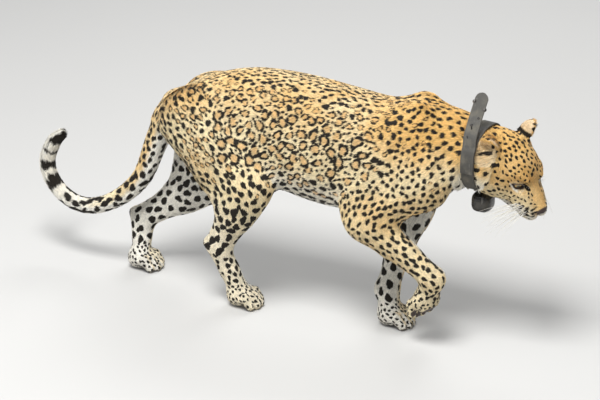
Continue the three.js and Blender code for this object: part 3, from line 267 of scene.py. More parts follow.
@dataclass(frozen=True)
class Trunk:
    """Trunk and neck: stations of x, top, widest, bottom and half width."""

    stations: tuple = (
        (-425, 520, 490, 452, 30), (-385, 560, 500, 430, 62), (-330, 603, 520, 410, 85),
        (-250, 643, 540, 400, 98), (-150, 672, 540, 388, 105), (-50, 679, 520, 362, 116),
        (50, 675, 500, 342, 124), (150, 664, 495, 336, 126), (250, 655, 495, 342, 121),
        (340, 662, 505, 362, 108), (410, 660, 525, 405, 95), (470, 649, 545, 448, 87),
        (520, 632, 545, 461, 82), (560, 610, 540, 470, 74),
    )
    end: float = 28
    power: float = 2.2

    def section(self, x: Array) -> list[Array]:
        """Top, widest height, bottom and half width of the trunk at x."""
        s = np.array(self.stations, float)
        xs = s[:, 0]
        v = np.clip(x, xs[0], xs[-1])
        past = np.clip(x - v, -40, 40)
        i = np.clip(np.searchsorted(xs, v, side="left") - 1, 0, len(xs) - 2)
        h = xs[i + 1] - xs[i]
        t = (v - xs[i]) / h
        t2, t3 = t * t, t * t * t
        out = []
        for c in range(1, 5):
            ys = s[:, c]
            m = np.gradient(ys, xs)
            value = (2 * t3 - 3 * t2 + 1) * ys[i] + (t3 - 2 * t2 + t) * h * m[i]
            value += (-2 * t3 + 3 * t2) * ys[i + 1] + (t3 - t2) * h * m[i + 1]
            out.append(value + np.where(past < 0, m[0], m[-1]) * past)
        return out

    def shape(self, p: Array) -> Array:
        """Distance to the trunk."""
        x = p[:, 0]
        top, mid, low, half = self.section(x)
        dz = p[:, 2] - mid
        tall = np.where(dz > 0, top - mid, mid - low)
        n = self.power
        rho = (np.abs(p[:, 1] / half) ** n + np.abs(dz / tall) ** n) ** (1 / n) + 1e-9
        d = np.where(rho > 0.25, np.hypot(p[:, 1], dz) * (1 - 1 / rho), (rho - 1) * np.minimum(half, tall))
        over = np.maximum(np.maximum(self.stations[0][0] - x, x - self.stations[-1][0]), 0)
        return np.where(over > 0, np.hypot(np.maximum(d + self.end, 0), over) - self.end, d)


@dataclass(frozen=True)
class Paw:
    """Four-toed paw at its knuckles, pointing along its toes."""

    knuckle: tuple
    toes: tuple
    spread: float = 19.5
    places: tuple = (-1.5, -0.5, 0.5, 1.5)

    def frame(self) -> tuple[Array, Array, Array]:
        """Directions along the toes, across them and up."""
        t = unit(vec(*self.toes))
        side = np.cross([0, 0, 1.0], t)
        side = unit(side) if np.linalg.norm(side) > 0.35 else unit(vec(0.15, 1, 0))
        return t, side, np.cross(t, side)

    def step(self, along: float, across: float, rise: float) -> Array:
        """Place counted from the knuckles."""
        t, side, up = self.frame()
        return np.asarray(self.knuckle, float) + t * along + side * across + up * rise

    def reach(self, place: float) -> float:
        """Length of one toe."""
        return 50 if abs(place) > 1 else 60

    def shape(self, p: Array) -> Array:
        """Distance to the paw."""
        parts = [bar(p, self.step(-1, 0, -4), self.step(16, 0, -5), 31, 27, 1.18, 1.22)]
        for place in self.places:
            reach = self.reach(place)
            mid = self.step(reach * 0.6, place * self.spread, 5)
            hind = bar(p, self.step(10, place * 16.5, 0), mid, 16.5, 15.5)
            front = bar(p, mid, self.step(reach, place * self.spread, -10), 15.5, 12.5)
            parts.append(np.minimum(hind, front))
        return fuse(parts, 6)

    def pads(self, p: Array) -> Array:
        """Distance to the bare pads under the toes and the palm."""
        parts = [bar(p, self.step(2, 0, -26), self.step(14, 0, -24), 15, 17, 1.25)]
        for place in self.places:
            tip = self.step(self.reach(place) - 7, place * self.spread, -13)
            parts.append(ball(p, tip, (12, 8.5, 10), np.array(self.frame())))
        return np.min(parts, axis=0)


class Leg:
    """What the four legs share: joints down to the knuckles and a paw that ends them."""

    def joints(self) -> list[Array]:
        """Joints from the top of the leg down to the knuckles."""
        return [vec(*getattr(self, part.name)) for part in fields(self) if part.name != "toes"]

    @property
    def paw(self) -> Paw:
        """The paw that ends the leg."""
        return Paw(tuple(self.joints()[-1]), self.toes)

    def chain(self) -> list[Array]:
        """The last four joints and the toes."""
        return self.joints()[-4:] + [self.paw.step(60, 0, -8)]

    def distance(self, p: Array) -> Array:
        """Distance to the leg."""
        return within(self.shape, p, self.joints(), 170)


@dataclass(frozen=True)
class HindLeg(Leg):
    """One hind leg by its joints."""

    hip: tuple
    knee: tuple
    hock: tuple
    foot: tuple
    toes: tuple = (1, 0, -0.22)

    def shape(self, p: Array) -> Array:
        """Thigh, shank, heel, cannon and paw blended."""
        hip, knee, hock, foot = self.joints()
        rear = mix(knee, hock, 0.18)
        thigh = fuse([
            limb(p, [(hip, 88, 0.6), (mix(hip, knee, 0.5), 80, 0.62), (mix(hip, knee, 0.93), 60, 0.68)]),
            limb(p, [(hip + vec(-48, 0, -5), 66, 0.55), (mix(hip, rear, 0.55) + vec(-40, 0, 0), 62, 0.55),
                     (mix(knee, hock, 0.3) + vec(-18, 0, 0), 46, 0.62)]),
            limb(p, [(hip + vec(60, 0, -10), 52, 0.6), (knee + vec(4, 0, 30), 48, 0.62)], 1),
        ], 50)
        shank = limb(p, [(mix(knee, hock, t), *size) for t, size in (
            (0, (56, 0.74)), (0.25, (55, 0.74)), (0.5, (47, 0.76)), (0.75, (36, 0.8)), (1, (31, 0.86)))])
        heel = hock - unit(foot - hock) * 10 + vec(-30, 0, 2)
        calf = mix(knee, hock, 0.42) + vec(-30, 0, 6)
        tendon = limb(p, [(calf, 26, 0.8), (mix(calf, heel, 0.5), 17, 0.85), (heel, 16.5, 0.9)])
        back = limb(p, [(heel, 16.5, 0.9), (mix(hock, foot, 0.45) + vec(-6, 0, 0), 21, 0.95)], 1)
        cannon = limb(p, [(hock, 31, 0.86), (mix(hock, foot, 0.35), 27.5, 0.9),
                          (mix(hock, foot, 0.7), 26.5, 1.05), (foot, 27, 1.2)])
        d = soft_min(thigh, shank, 40)
        for part, k in ((tendon, 20), (back, 15), (cannon, 18), (self.paw.shape(p), 18)):
            d = soft_min(d, part, k)
        return d


@dataclass(frozen=True)
class ForeLeg(Leg):
    """One foreleg by its joints."""

    blade: tuple
    shoulder: tuple
    elbow: tuple
    wrist: tuple
    knuckle: tuple
    toes: tuple

    def shape(self, p: Array) -> Array:
        """Shoulder, forearm, wrist and paw blended."""
        blade, shoulder, elbow, wrist, knuckle = self.joints()
        upper = fuse([
            limb(p, [(blade, 34, 0.55), (mix(blade, shoulder, 0.5), 56, 0.55), (shoulder, 62, 0.62)]),
            limb(p, [(mix(blade, shoulder, 0.45) + vec(-55, 0, 0), 46, 0.5),
                     (elbow + vec(-4, 0, 75), 56, 0.55), (elbow + vec(-12, 0, 18), 46, 0.66)]),
            limb(p, [(shoulder, 62, 0.66), (mix(shoulder, elbow, 0.5), 56, 0.68), (elbow, 52, 0.76)]),
        ], 45)
        point = elbow - unit(wrist - elbow) * 20 + vec(-30, 0, 6)
        forearm = limb(p, [(elbow, 52, 0.8), (mix(elbow, wrist, 0.25), 47.5, 0.82),
                           (mix(elbow, wrist, 0.5), 41, 0.86), (mix(elbow, wrist, 0.75), 33.5, 0.92),
                           (wrist, 31, 0.98)])
        rear = limb(p, [(point, 22, 0.85), (mix(elbow, wrist, 0.35) + vec(-10, 0, -8), 32, 0.85)])
        palm = limb(p, [(wrist, 31, 0.98), (mix(wrist, knuckle, 0.5), 29.5, 1.08), (knuckle, 29, 1.2)])
        d = soft_min(upper, soft_min(forearm, rear, 25), 35)
        d = soft_min(d, palm, 16)
        return soft_min(d, self.paw.shape(p), 18)


@dataclass(frozen=True)
class Tail:
    """Tail from root to tip: stations of x, y, z and radius."""

    stations: tuple = (
        (-375, 0, 532, 46), (-415, 0, 480, 37), (-452, 0, 400, 32), (-490, 2, 310, 28.5),
        (-540, 4, 250, 26.5), (-600, 6, 205, 24.5), (-665, 10, 177, 23.5), (-725, 14, 174, 23),
        (-782, 20, 198, 22.5), (-818, 26, 240, 22.5), (-828, 32, 285, 22.5), (-812, 38, 332, 21),
        (-790, 42, 358, 16.5),
    )

    def line(self, n: int = 3) -> Array:
        """Smooth middle line of the tail."""
        return smooth_line(self.stations, n)

    def distance(self, p: Array) -> Array:
        """Distance to the tail."""
        stations = [(s[:3], s[3], 1) for s in self.stations]
        return within(lambda q: limb(q, stations, 3), p, [s[:3] for s in self.stations], 90)


@dataclass(frozen=True)
class Ear:
    """Cup of an ear in the head's frame, as the left one stands."""

    wide: float
    tall: float
    place: tuple
    tip: tuple
    open: tuple
    deep: float = 25
    wall: float = 4.5

    def frame(self) -> Array:
        """Rows: across the ear, out of its opening, towards its tip."""
        tip = unit(vec(*self.tip))
        out = vec(*self.open)
        out = unit(out - tip * (out @ tip))
        return np.array([np.cross(tip, out), out, tip])

    def shape(self, p: Array) -> Array:
        """Distance to the ear's shell."""
        turn = self.frame()
        _, out, tip = turn
        place = vec(*self.place)
        outer = ball(p, place, (self.wide, self.deep, self.tall), turn)
        hollow = (self.wide - self.wall + 2, self.deep + 9 - self.wall, self.tall - self.wall + 1)
        inner = ball(p, place + out * 13 - tip, hollow, turn)
        root = bar(p, place - tip * 30, place - tip * 14 - out * 6, 22, 18)
        pit = ball(p, place - tip * 20 + out * 8, (13, 17, 15), turn)
        d = soft_max(outer, (p - place) @ out - 5, 5)
        d = soft_min(d, root, 14)
        d = soft_max(d, -inner, 3)
        return soft_max(d, -pit, 6)


@dataclass(frozen=True)
class Head:
    """Head in its own frame, which starts midway between the eyes: forward, left, up."""

    place: tuple = (655, 0, 500)
    pitch: float = -31
    yaw: float = -18
    roll: float = 5
    eye_at: tuple = (-8, 33, 0)
    eye_radius: float = 17
    eye_turn: tuple = (-6, 26, 12)
    slot: tuple = (16, 7.5, 6)
    lid: float = 3.2
    mouth_front: float = 86
    mouth_corner: float = 12
    mouth_top: float = -56
    mouth_drop: float = 20
    ear_left: Ear = Ear(30, 38, (-96, 64, 49), (-0.22, 0.42, 0.86), (0.66, 0.72, -0.1))
    ear_right: Ear = Ear(36, 39, (-109, 70, 34), (-0.3, 0.42, 0.86), (0.36, 0.9, -0.1))

    def frame(self) -> Array:
        """The head's axes as rows."""
        return axes(self.pitch, self.yaw, self.roll)

    def to_head(self, p: Array) -> Array:
        """Places in the head's frame."""
        return (p - vec(*self.place)) @ self.frame().T

    def from_head(self, q: Array) -> Array:
        """Places from the head's frame."""
        return np.asarray(q, float) @ self.frame() + vec(*self.place)

    def eye_frame(self) -> Array:
        """The left eye's axes as rows: forward, outward, up."""
        return axes(*self.eye_turn)

    def mouth_line(self, u: Array, v: Array) -> Array:
        """Height of the line of the mouth."""
        return self.mouth_top - self.mouth_drop * ease(v / 26) * (1 - 0.25 * ease((50 - u) / 45))

    def eye_slot(self, q: Array) -> tuple[Array, Array, Array]:
        """How far places lie outside the opening between the lids, in front of the eye and beside it."""
        e = (q - vec(*self.eye_at)) @ self.eye_frame().T
        half, upper, lower = self.slot
        bow = 1 - (e[:, 1] / half) ** 2
        return np.maximum(e[:, 2] - upper * bow, -e[:, 2] - lower * bow), e[:, 0], e[:, 1]

    def distance(self, p: Array) -> Array:
        """Distance to the head."""
        return within(self.shape, p, [self.place], 210)

    def shape(self, p: Array) -> Array:
        """Skull, cheeks, ears and face blended."""
        q = self.to_head(p)
        m = q.copy()
        m[:, 1] = np.abs(m[:, 1])
        d = ball(m, (-80, 0, 2), (84, 69, 62))
        d = soft_min(d, ball(m, (-26, 0, 12), (42, 48, 32)), 30)
        d = soft_min(d, ball(m, (-48, 44, -30), (58, 38, 42), axes(-8, -12, 0)), 30)
        d = soft_min(d, ball(m, (-74, 40, -54), (50, 36, 34)), 30)
        left = q[:, 1] > 0
        ears = np.full(len(m), 99.0)
        for side, ear in ((left, self.ear_left), (~left, self.ear_right)):
            near = side & (m[:, 0] < -30) & (m[:, 1] > 20)
            if near.any():
                ears[near] = ear.shape(m[near])
        d = soft_min(d, ears, 12)
        face = m[:, 0] > -70
        if face.any():
            d[face] = self.face(m[face], d[face])
        return d

    def face(self, m: Array, d: Array) -> Array:
        """Adds muzzle, jaw, brow, lids, mouth and nostrils to the skull's distance."""
        u, v, w = m.T
        line = w - self.mouth_line(u, v)
        jaw = soft_min(bar(m, (-38, 16, -76), (34, 4, -81), 24, 15), ball(m, (45, 0, -82), (17, 17, 14)), 14)
        for form, k in (
            (ball(m, (16, 24, -36), (44, 25, 27), axes(-14, -10, 0)), 22),
            (bar(m, (-4, 0, -4), (69, 0, -34), 23, 14, 1.3), 20),
            (ball(m, (48, 19, -54), (36, 24, 22), axes(-12, -8, 0)), 16),
            (bar(m, (-14, 38, 20), (12, 27, 16), 12.5, 10), 12),
            (jaw, 5 + 15 * ease((10 - u) / 30)),
            (ball(m, (77, 0, -37), (12.5, 17, 12)), 6),
            (ball(m, (76, 10, -42), (10, 8.5, 9)), 4),
        ):
            d = soft_min(d, form, k)
        d = soft_max(d, -ball(m, (16, 40, 2), (16, 15, 11)), 14)
        d = soft_min(d, ball(m, self.eye_at, [self.eye_radius + self.lid] * 3), 5)
        opening, front, _ = self.eye_slot(m)
        d = soft_max(d, -np.maximum(opening, 4 - front), 1.5)
        bend, wide, groove, depth = 30, 43, 1.7, 5
        run = (u - bend) / (self.mouth_front - bend)
        rim = np.where(u > bend, wide * np.sqrt(np.maximum(0, 1 - run * run)), wide + (bend - u) * 0.2)
        gap = np.maximum(np.maximum(np.abs(line) - groove, self.mouth_corner - u), rim - depth - v)
        d = soft_max(d, -gap, 0.5)
        d = soft_max(d, -ball(m, (86, 8, -42), (7, 4.2, 4.2), axes(-20, 30, 0)), 1.5)
        d = soft_max(d, -ball(m, (82, 15, -46), (9, 3.2, 3), axes(0, -40, 20)), 1.5)
        return soft_max(d, -bar(m, (92, 0, -44), (80, 0, -60), 2.2, 2.2), 1)


@dataclass(frozen=True)
class Band:
    """Ring that the collar's strap follows, counted from the nape."""

    x: float = 525
    z: float = 570
    over: float = 56
    under: float = 115
    side: float = 88
    power: float = 2.2
    lean: float = 4
    width: float = 36
    thick: float = 4.4

    def line(self, angle: float) -> Array:
        """Place on the ring."""
        c, s = math.cos(angle), math.sin(angle)
        z = (self.over if c > 0 else self.under) * math.copysign(abs(c) ** (2 / self.power), c)
        y = self.side * math.copysign(abs(s) ** (2 / self.power), s)
        return vec(self.x + z * math.tan(math.radians(self.lean)), y, self.z + z)

    def frame(self, angle: float) -> tuple[Array, Array, Array]:
        """Place, direction across the strap and direction out of the ring."""
        along = unit(self.line(angle + 1e-3) - self.line(angle - 1e-3))
        lean = math.radians(self.lean)
        across = vec(math.cos(lean), 0, -math.sin(lean))
        return self.line(angle), across, unit(np.cross(across, along))

    def room(self, p: Array) -> Array:
        """How far places lie inside the room that the strap presses free of fur."""
        lean = math.radians(self.lean)
        rise = p[:, 2] - self.z
        off = np.abs((p[:, 0] - self.x) * math.cos(lean) - rise * math.sin(lean)) - self.width / 2 - 3
        tall = np.where(rise > 0, self.over, self.under)
        n = self.power
        rho = (np.abs(p[:, 1] / self.side) ** n + np.abs(rise / tall) ** n) ** (1 / n)
        inside = np.hypot(p[:, 1], rise) * (1 / np.maximum(rho, 0.3) - 1) - self.thick / 2 - 1
        return np.where((off > 40) | (rho < 0.3), -40, -np.maximum(inside, off))


@dataclass(frozen=True)
class Body:
    """The whole animal's form."""

    trunk: Trunk = Trunk()
    hind_right: HindLeg = HindLeg((-268, -75, 528), (-105, -100, 368), (-205, -75, 168), (-160, -52, 34))
    hind_left: HindLeg = HindLeg((-280, 75, 525), (-330, 98, 285), (-528, 62, 145), (-536, 48, 34))
    fore_right: ForeLeg = ForeLeg((368, -43, 640), (398, -88, 475), (252, -98, 345), (432, -82, 208),
                                  (405, -60, 140), (-0.55, 0.28, -0.8))
    fore_left: ForeLeg = ForeLeg((350, 43, 640), (388, 82, 495), (290, 85, 315), (248, 34, 95),
                                 (264, 24, 34), (1, 0, -0.22))
    tail: Tail = Tail()
    head: Head = Head()
    band: Band = Band()

    @property
    def legs(self) -> tuple:
        """The four legs."""
        return self.hind_right, self.hind_left, self.fore_right, self.fore_left

    def form(self, p: Array) -> Array:
        """Distance to the tips of the coat, also below the floor."""
        d = self.trunk.shape(p)
        for leg, k in zip(self.legs, (50, 50, 40, 40)):
            d = soft_min(d, leg.distance(p), k)
        d = soft_min(d, self.tail.distance(p), 1 + 29 * ease((p[:, 2] - 400) / 80))
        d = soft_min(d, self.head.distance(p), 40)
        near = (p[:, 0] > 470) & (p[:, 0] < 590)
        if near.any():
            d[near] = soft_max(d[near], self.band.room(p[near]), 5)
        return d

    def coat_depth(self, p: Array) -> Array:
        """Depth of the coat, from its tips down to the skin."""
        q = self.head.to_head(p)
        front = ease((q[:, 0] + 150) / 60)
        depth = 3.6 * (1 - front) + 1.4 * front
        ears = (q[:, 0] < -60) & (q[:, 2] > 40) & (np.abs(q[:, 1]) > 50) & (q[:, 0] > -160)
        depth = np.where(ears, 0.5, depth)
        slot, ahead, _ = self.head.eye_slot(np.stack([q[:, 0], np.abs(q[:, 1]), q[:, 2]], 1))
        depth = np.where((slot < 6) & (ahead > 0), 0.3 + 0.18 * np.clip(slot, 0, 6), depth)
        for leg in self.legs:
            away = np.linalg.norm(p - np.asarray(leg.paw.knuckle, float), axis=1)
            depth = np.minimum(depth, 1.2 + 2.4 * ease((away - 70) / 60))
        return depth

    def skin(self, p: Array) -> Array:
        """Distance to the skin under the coat."""
        return np.maximum(self.form(p) + self.coat_depth(p), 0.2 - p[:, 2])


# From a field to a mesh


def sample(shape: Field, lo: Vec, hi: Vec, step: float, coarse: int = 4) -> tuple[Array, Array]:
    """Values of a field on a grid, fine only near its surface.

    Args:
        shape: The field.
        lo: Lowest corner of the grid.
        hi: Highest corner of the grid.
        step: Spacing of the grid.
        coarse: Steps between the places that are always worked out.

    Returns:
        The values and the lowest corner.
    """
    start = np.asarray(lo, float)
    n = np.ceil((np.asarray(hi) - start) / (step * coarse)).astype(int) + 1
    ticks = [start[i] + step * coarse * np.arange(n[i]) for i in range(3)]
    values = shape(np.stack(np.meshgrid(*ticks, indexing="ij"), -1).reshape(-1, 3)).reshape(n)
    shape_fine = (n - 1) * coarse + 1
    index = [np.minimum((np.arange(m) + coarse // 2) // coarse, n[i] - 1) for i, m in enumerate(shape_fine)]
    fine = values[np.ix_(*index)].astype(np.float32)
    near = np.full(tuple(n - 1), np.inf)
    for corner in np.ndindex(2, 2, 2):
        part = tuple(slice(c, n[i] - 1 + c) for i, c in enumerate(corner))
        near = np.minimum(near, np.abs(values[part]))
    cells = np.argwhere(near < step * coarse)
    offsets = np.stack(np.meshgrid(*[np.arange(coarse + 1)] * 3, indexing="ij"), -1).reshape(-1, 3)
    flat = np.unique(np.ravel_multi_index((cells[:, None] * coarse + offsets).reshape(-1, 3).T, fine.shape))
    places = np.stack(np.unravel_index(flat, fine.shape), -1)
    result = np.empty(len(flat), np.float32)
    for s in range(0, len(flat), 200000):
        result[s: s + 200000] = shape(start + places[s: s + 200000] * step)
    fine.ravel()[flat] = result
    return fine, start


def contour(values: Array, start: Array, step: float) -> tuple[Array, Array]:
    """Smooth quads where the values change sign.

    Args:
        values: Field on a grid.
        start: Lowest corner of the grid.
        step: Spacing of the grid.

    Returns:
        Points and quads, facing out.
    """
    inside = values < 0
    n = np.array(values.shape)
    count = np.zeros(tuple(n - 1), np.int8)
    corners = list(np.ndindex(2, 2, 2))
    for corner in corners:
        count += inside[tuple(slice(c, n[i] - 1 + c) for i, c in enumerate(corner))]
    cells = np.argwhere((count > 0) & (count < 8))
    number = np.full(tuple(n - 1), -1, np.int64)
    number[tuple(cells.T)] = np.arange(len(cells))
    total = np.zeros((len(cells), 3))
    crossings = np.zeros(len(cells))
    for axis in range(3):
        for low in (c for c in corners if c[axis] == 0):
            high = tuple(c + (i == axis) for i, c in enumerate(low))
            a = values[tuple((cells + low).T)]
            b = values[tuple((cells + high).T)]
            cut = (a < 0) != (b < 0)
            point = np.tile(np.array(low, float), (len(cells), 1))
            point[:, axis] = np.where(cut, a / np.where(cut, a - b, 1), 0)
            total[cut] += point[cut]
            crossings[cut] += 1
    points = start + (cells + total / crossings[:, None]) * step
    quads = []
    for axis in range(3):
        b, c = np.eye(3, dtype=int)[(axis + 1) % 3], np.eye(3, dtype=int)[(axis + 2) % 3]
        first = [slice(1, n[i] - 1) for i in range(3)]
        first[axis] = slice(0, n[axis] - 1)
        second = list(first)
        second[axis] = slice(1, n[axis])
        edge = np.argwhere(inside[tuple(first)] != inside[tuple(second)])
        edge += (np.arange(3) != axis).astype(int)
        quad = np.stack([number[tuple((edge - o).T)] for o in (0 * b, b, b + c, c)], 1)
        outward = inside[tuple(edge.T)]
        quad[~outward] = quad[~outward][:, ::-1]
        quads.append(quad)
    return points, np.concatenate(quads)


def rims(faces: Array) -> list[list[int]]:
    """Open edge loops of a quad mesh, in the faces' own direction."""
    a = faces.ravel()
    b = np.roll(faces, -1, axis=1).ravel()
    big = int(faces.max()) + 1
    keys = a * big + b
    lone = ~np.isin(keys, b * big + a)
    onward = dict(zip(a[lone].tolist(), b[lone].tolist()))
    loops = []
    while onward:
        start = next(iter(onward))
        loop = [start]
        while onward.get(loop[-1], start) != start:
            loop.append(onward.pop(loop[-1]))
        onward.pop(loop[-1], None)
        loops.append(loop)
    return loops


def bridge(points: Array, first: list[int], second: list[int]) -> Array:
    """Triangles between two facing open loops, each in its own faces' direction."""
    a = np.array(first[::-1])
    b = np.array(second)
    b = np.roll(b, -int(np.argmin(np.linalg.norm(points[b] - points[a[0]], axis=1))))
    out = []
    i = j = 0
    while i < len(a) or j < len(b):
        ahead_a = points[a[(i + 1) % len(a)]] - points[b[j % len(b)]]
        ahead_b = points[b[(j + 1) % len(b)]] - points[a[i % len(a)]]
        if j >= len(b) or (i < len(a) and ahead_a @ ahead_a < ahead_b @ ahead_b):
            out.append((a[i % len(a)], a[(i + 1) % len(a)], b[j % len(b)]))
            i += 1
        else:
            out.append((b[(j + 1) % len(b)], b[j % len(b)], a[i % len(a)]))
            j += 1
    return np.array(out)


# Making Blender meshes


def middle(node: str) -> Array:
    """Middle of a solid's box."""
    lo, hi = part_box(node)
    return (np.array(lo) + np.array(hi)) / 2


@dataclass
class Frame:
    """The step from the makers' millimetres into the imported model's frame."""

    shift: Array

    @classmethod
    def load(cls, body: Body) -> "Frame":
        """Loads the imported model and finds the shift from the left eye's place."""
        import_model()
        eye = body.head.from_head([body.head.eye_at])[0]
        return cls(middle("eye_left") - eye * MM)

    def metres(self, points: Array) -> Array:
        """Places in the frame, in metres."""
        return np.asarray(points, float) * MM + self.shift


def make_mesh(name: str, points: Array, faces: Sequence[Array]) -> Thing:
    """A smooth mesh object.

    Args:
        name: The piece's name.
        points: Places in metres.
        faces: Lists of faces, each an array with one face in a row.

    Returns:
        The linked object.
    """
    mesh = bpy.data.meshes.new(name)
    mesh.vertices.add(len(points))
    mesh.vertices.foreach_set("co", np.asarray(points, np.float32).ravel())
    corners = np.concatenate([f.ravel() for f in faces]).astype(np.int32)
    sizes = np.concatenate([np.full(len(f), f.shape[1]) for f in faces])
    mesh.loops.add(len(corners))
    mesh.loops.foreach_set("vertex_index", corners)
    mesh.polygons.add(len(sizes))
    mesh.polygons.foreach_set("loop_start", (np.cumsum(sizes) - sizes).astype(np.int32))
    mesh.update(calc_edges=True)
    mesh.polygons.foreach_set("use_smooth", np.ones(len(sizes), bool))
    mesh.update()
    thing = bpy.data.objects.new(name, mesh)
    bpy.context.scene.collection.objects.link(thing)
    return thing


def lattice(rows: int, columns: int, flip: bool = False) -> tuple[Array, Array]:
    """Closed rows of points and the quads between them.

    Args:
        rows: Count of rows.
        columns: Points in a row.
        flip: Whether the quads face the other way.

    Returns:
        The points' numbers and the quads.
    """
    grid = np.arange(rows * columns).reshape(rows, columns)
    onward = np.roll(grid, -1, axis=1)
    quads = np.stack([grid[:-1], grid[1:], onward[1:], onward[:-1]], -1).reshape(-1, 4)
    return grid, quads[:, [0, 3, 2, 1]] if flip else quads


def fan(row: Array, hub: int) -> Array:
    """Triangles from a hub to a closed row of points."""
    return np.stack([np.full(len(row), hub), row, np.roll(row, -1)], 1)


def add_values(thing: Thing, name: str, values: Array) -> None:
    """Stores one number or one colour for each point of a mesh."""
    colour = values.ndim == 2
    store = thing.data.attributes.new(name, "FLOAT_COLOR" if colour else "FLOAT", "POINT")
    store.data.foreach_set("color" if colour else "value", values.astype(np.float32).ravel())


def dress(thing: Thing, material: Material, replaced: Sequence[str] = ()) -> None:
    """Finishes a piece.

    Args:
        thing: The piece.
        material: Its material.
        replaced: The solids that it stands for.
    """
    thing.data.materials.clear()
    thing.data.materials.append(material)
    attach(thing, ROOT)
    if replaced:
        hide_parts(*replaced)
    log.info("%s: %d points, %d faces", thing.name, len(thing.data.vertices), len(thing.data.polygons))


def unwrap(thing: Thing) -> None:
    """Lays a piece out flat in the map that its finish is kept in."""
    layer = thing.data.uv_layers.new(name=BAKE_MAP)
    thing.data.uv_layers.active = layer
    bpy.ops.object.select_all(action="DESELECT")
    bpy.context.view_layer.objects.active = thing
    thing.select_set(True)
    bpy.ops.object.mode_set(mode="EDIT")
    bpy.ops.mesh.select_all(action="SELECT")
    bpy.ops.uv.smart_project(angle_limit=math.radians(66), island_margin=0.002)
    bpy.ops.object.mode_set(mode="OBJECT")
    thing.select_set(False)


# Materials


class Recipe:
    """Short ways to lay out one material or node group."""

    def __init__(self, tree: Tree) -> None:
        """Starts with an empty tree."""
        self.tree = tree
        tree.nodes.clear()

    def node(self, kind: str, sockets: dict | None = None, **settings: object) -> bpy.types.Node:
        """Adds a node.

        Args:
            kind: The node's type, without the word ShaderNode.
            sockets: Values or links for its inputs.
            **settings: The node's own settings.

        Returns:
            The node.
        """
        made = self.tree.nodes.new("ShaderNode" + kind)
        for name, value in settings.items():
            setattr(made, name, value)
        for name, value in (sockets or {}).items():
            self.feed(made.inputs[name], value)
        return made

    def feed(self, socket: Socket, value: object) -> None:
        """Links a socket, or sets it."""
        if isinstance(value, Socket):
            self.tree.links.new(value, socket)
        elif isinstance(value, tuple) and len(value) == 3 and socket.type == "RGBA":
            socket.default_value = (*value, 1.0)
        else:
            socket.default_value = value

    def blend(self, a: object, b: object, amount: object, how: str = "MIX") -> Socket:
        """Mixes colour b into colour a."""
        made = self.tree.nodes.new("ShaderNodeMix")
        made.data_type = "RGBA"
        made.blend_type = how
        self.feed(made.inputs[0], amount)
        self.feed(made.inputs[6], a)
        self.feed(made.inputs[7], b)
        return made.outputs[2]

    def sum(self, how: str, a: object, b: object = 0.5, c: object = 0.5) -> Socket:
        """One sum with numbers."""
        made = self.node("Math", operation=how)
        for socket, value in zip(made.inputs, (a, b, c)):
            self.feed(socket, value)
        return made.outputs[0]

    def spread(self, value: object, low: float, high: float, to_low: float = 0, to_high: float = 1) -> Socket:
        """Brings a range of values to another, held at both ends."""
        sockets = {"Value": value, "From Min": low, "From Max": high, "To Min": to_low, "To Max": to_high}
        return self.node("MapRange", sockets, clamp=True, interpolation_type="SMOOTHSTEP").outputs[0]

    def noise(self, scale: float, detail: float) -> Socket:
        """Uneven values by place on the object."""
        place = self.node("TexCoord").outputs["Object"]
        sockets = {"Vector": place, "Scale": scale, "Detail": detail, "Roughness": 0.55}
        return self.node("TexNoise", sockets).outputs["Fac"]

    def stored(self, name: str, part: str = "Fac") -> Socket:
        """Values kept on the mesh."""
        return self.node("Attribute", attribute_name=name).outputs[part]

    def bump(self, height: object, strength: float, distance: float) -> Socket:
        """Normal from a height."""
        sockets = {"Height": height, "Strength": strength, "Distance": distance}
        return self.node("Bump", sockets).outputs["Normal"]

    def coat(self, group: Tree, tone: Socket, along: object) -> Socket:
        """Colour of the coat, from the markings kept on the mesh."""
        marks = self.node("Attribute", attribute_name="marks")
        split = self.node("SeparateColor", {"Color": marks.outputs["Color"]})
        return place_group(self, group, {
            "Dark": split.outputs[0], "Warm": split.outputs[1], "White": split.outputs[2],
            "Core": marks.outputs["Alpha"], "Tone": tone, "Along": along,
        }).outputs["Color"]

    def finish(self, sockets: dict) -> None:
        """The surface shader and the output."""
        shader = self.node("BsdfPrincipled", sockets)
        self.node("OutputMaterial", {"Surface": shader.outputs["BSDF"]})


def new_material(name: str) -> tuple[Material, Recipe]:
    """An empty material and its recipe."""
    material = bpy.data.materials.new(name)
    material.use_nodes = True
    return material, Recipe(material.node_tree)


def make_group(name: str, inputs: dict, outputs: dict) -> tuple[Tree, Recipe, bpy.types.Node]:
    """An empty shader node group.

    Args:
        name: The group's name.
        inputs: Socket names with their first values; a tuple is a colour.
        outputs: Socket names with Color, Float or Vector.

    Returns:
        The group, its recipe and its input node.
    """
    tree = bpy.data.node_groups.new(name, "ShaderNodeTree")
    recipe = Recipe(tree)
    for label, value in inputs.items():
        kind = "NodeSocketColor" if isinstance(value, tuple) else "NodeSocketFloat"
        socket = tree.interface.new_socket(label, in_out="INPUT", socket_type=kind)
        socket.default_value = (*value, 1.0) if isinstance(value, tuple) else value
    for label, kind in outputs.items():
        tree.interface.new_socket(label, in_out="OUTPUT", socket_type="NodeSocket" + kind)
    return tree, recipe, tree.nodes.new("NodeGroupInput")


def close_group(recipe: Recipe, outputs: dict) -> None:
    """Feeds the outputs of a group."""
    end = recipe.tree.nodes.new("NodeGroupOutput")
    for label, value in outputs.items():
        recipe.feed(end.inputs[label], value)


def place_group(recipe: Recipe, tree: Tree, inputs: dict) -> bpy.types.Node:
    """Uses a group in a material."""
    made = recipe.tree.nodes.new("ShaderNodeGroup")
    made.node_tree = tree
    for label, value in inputs.items():
        recipe.feed(made.inputs[label], value)
    return made


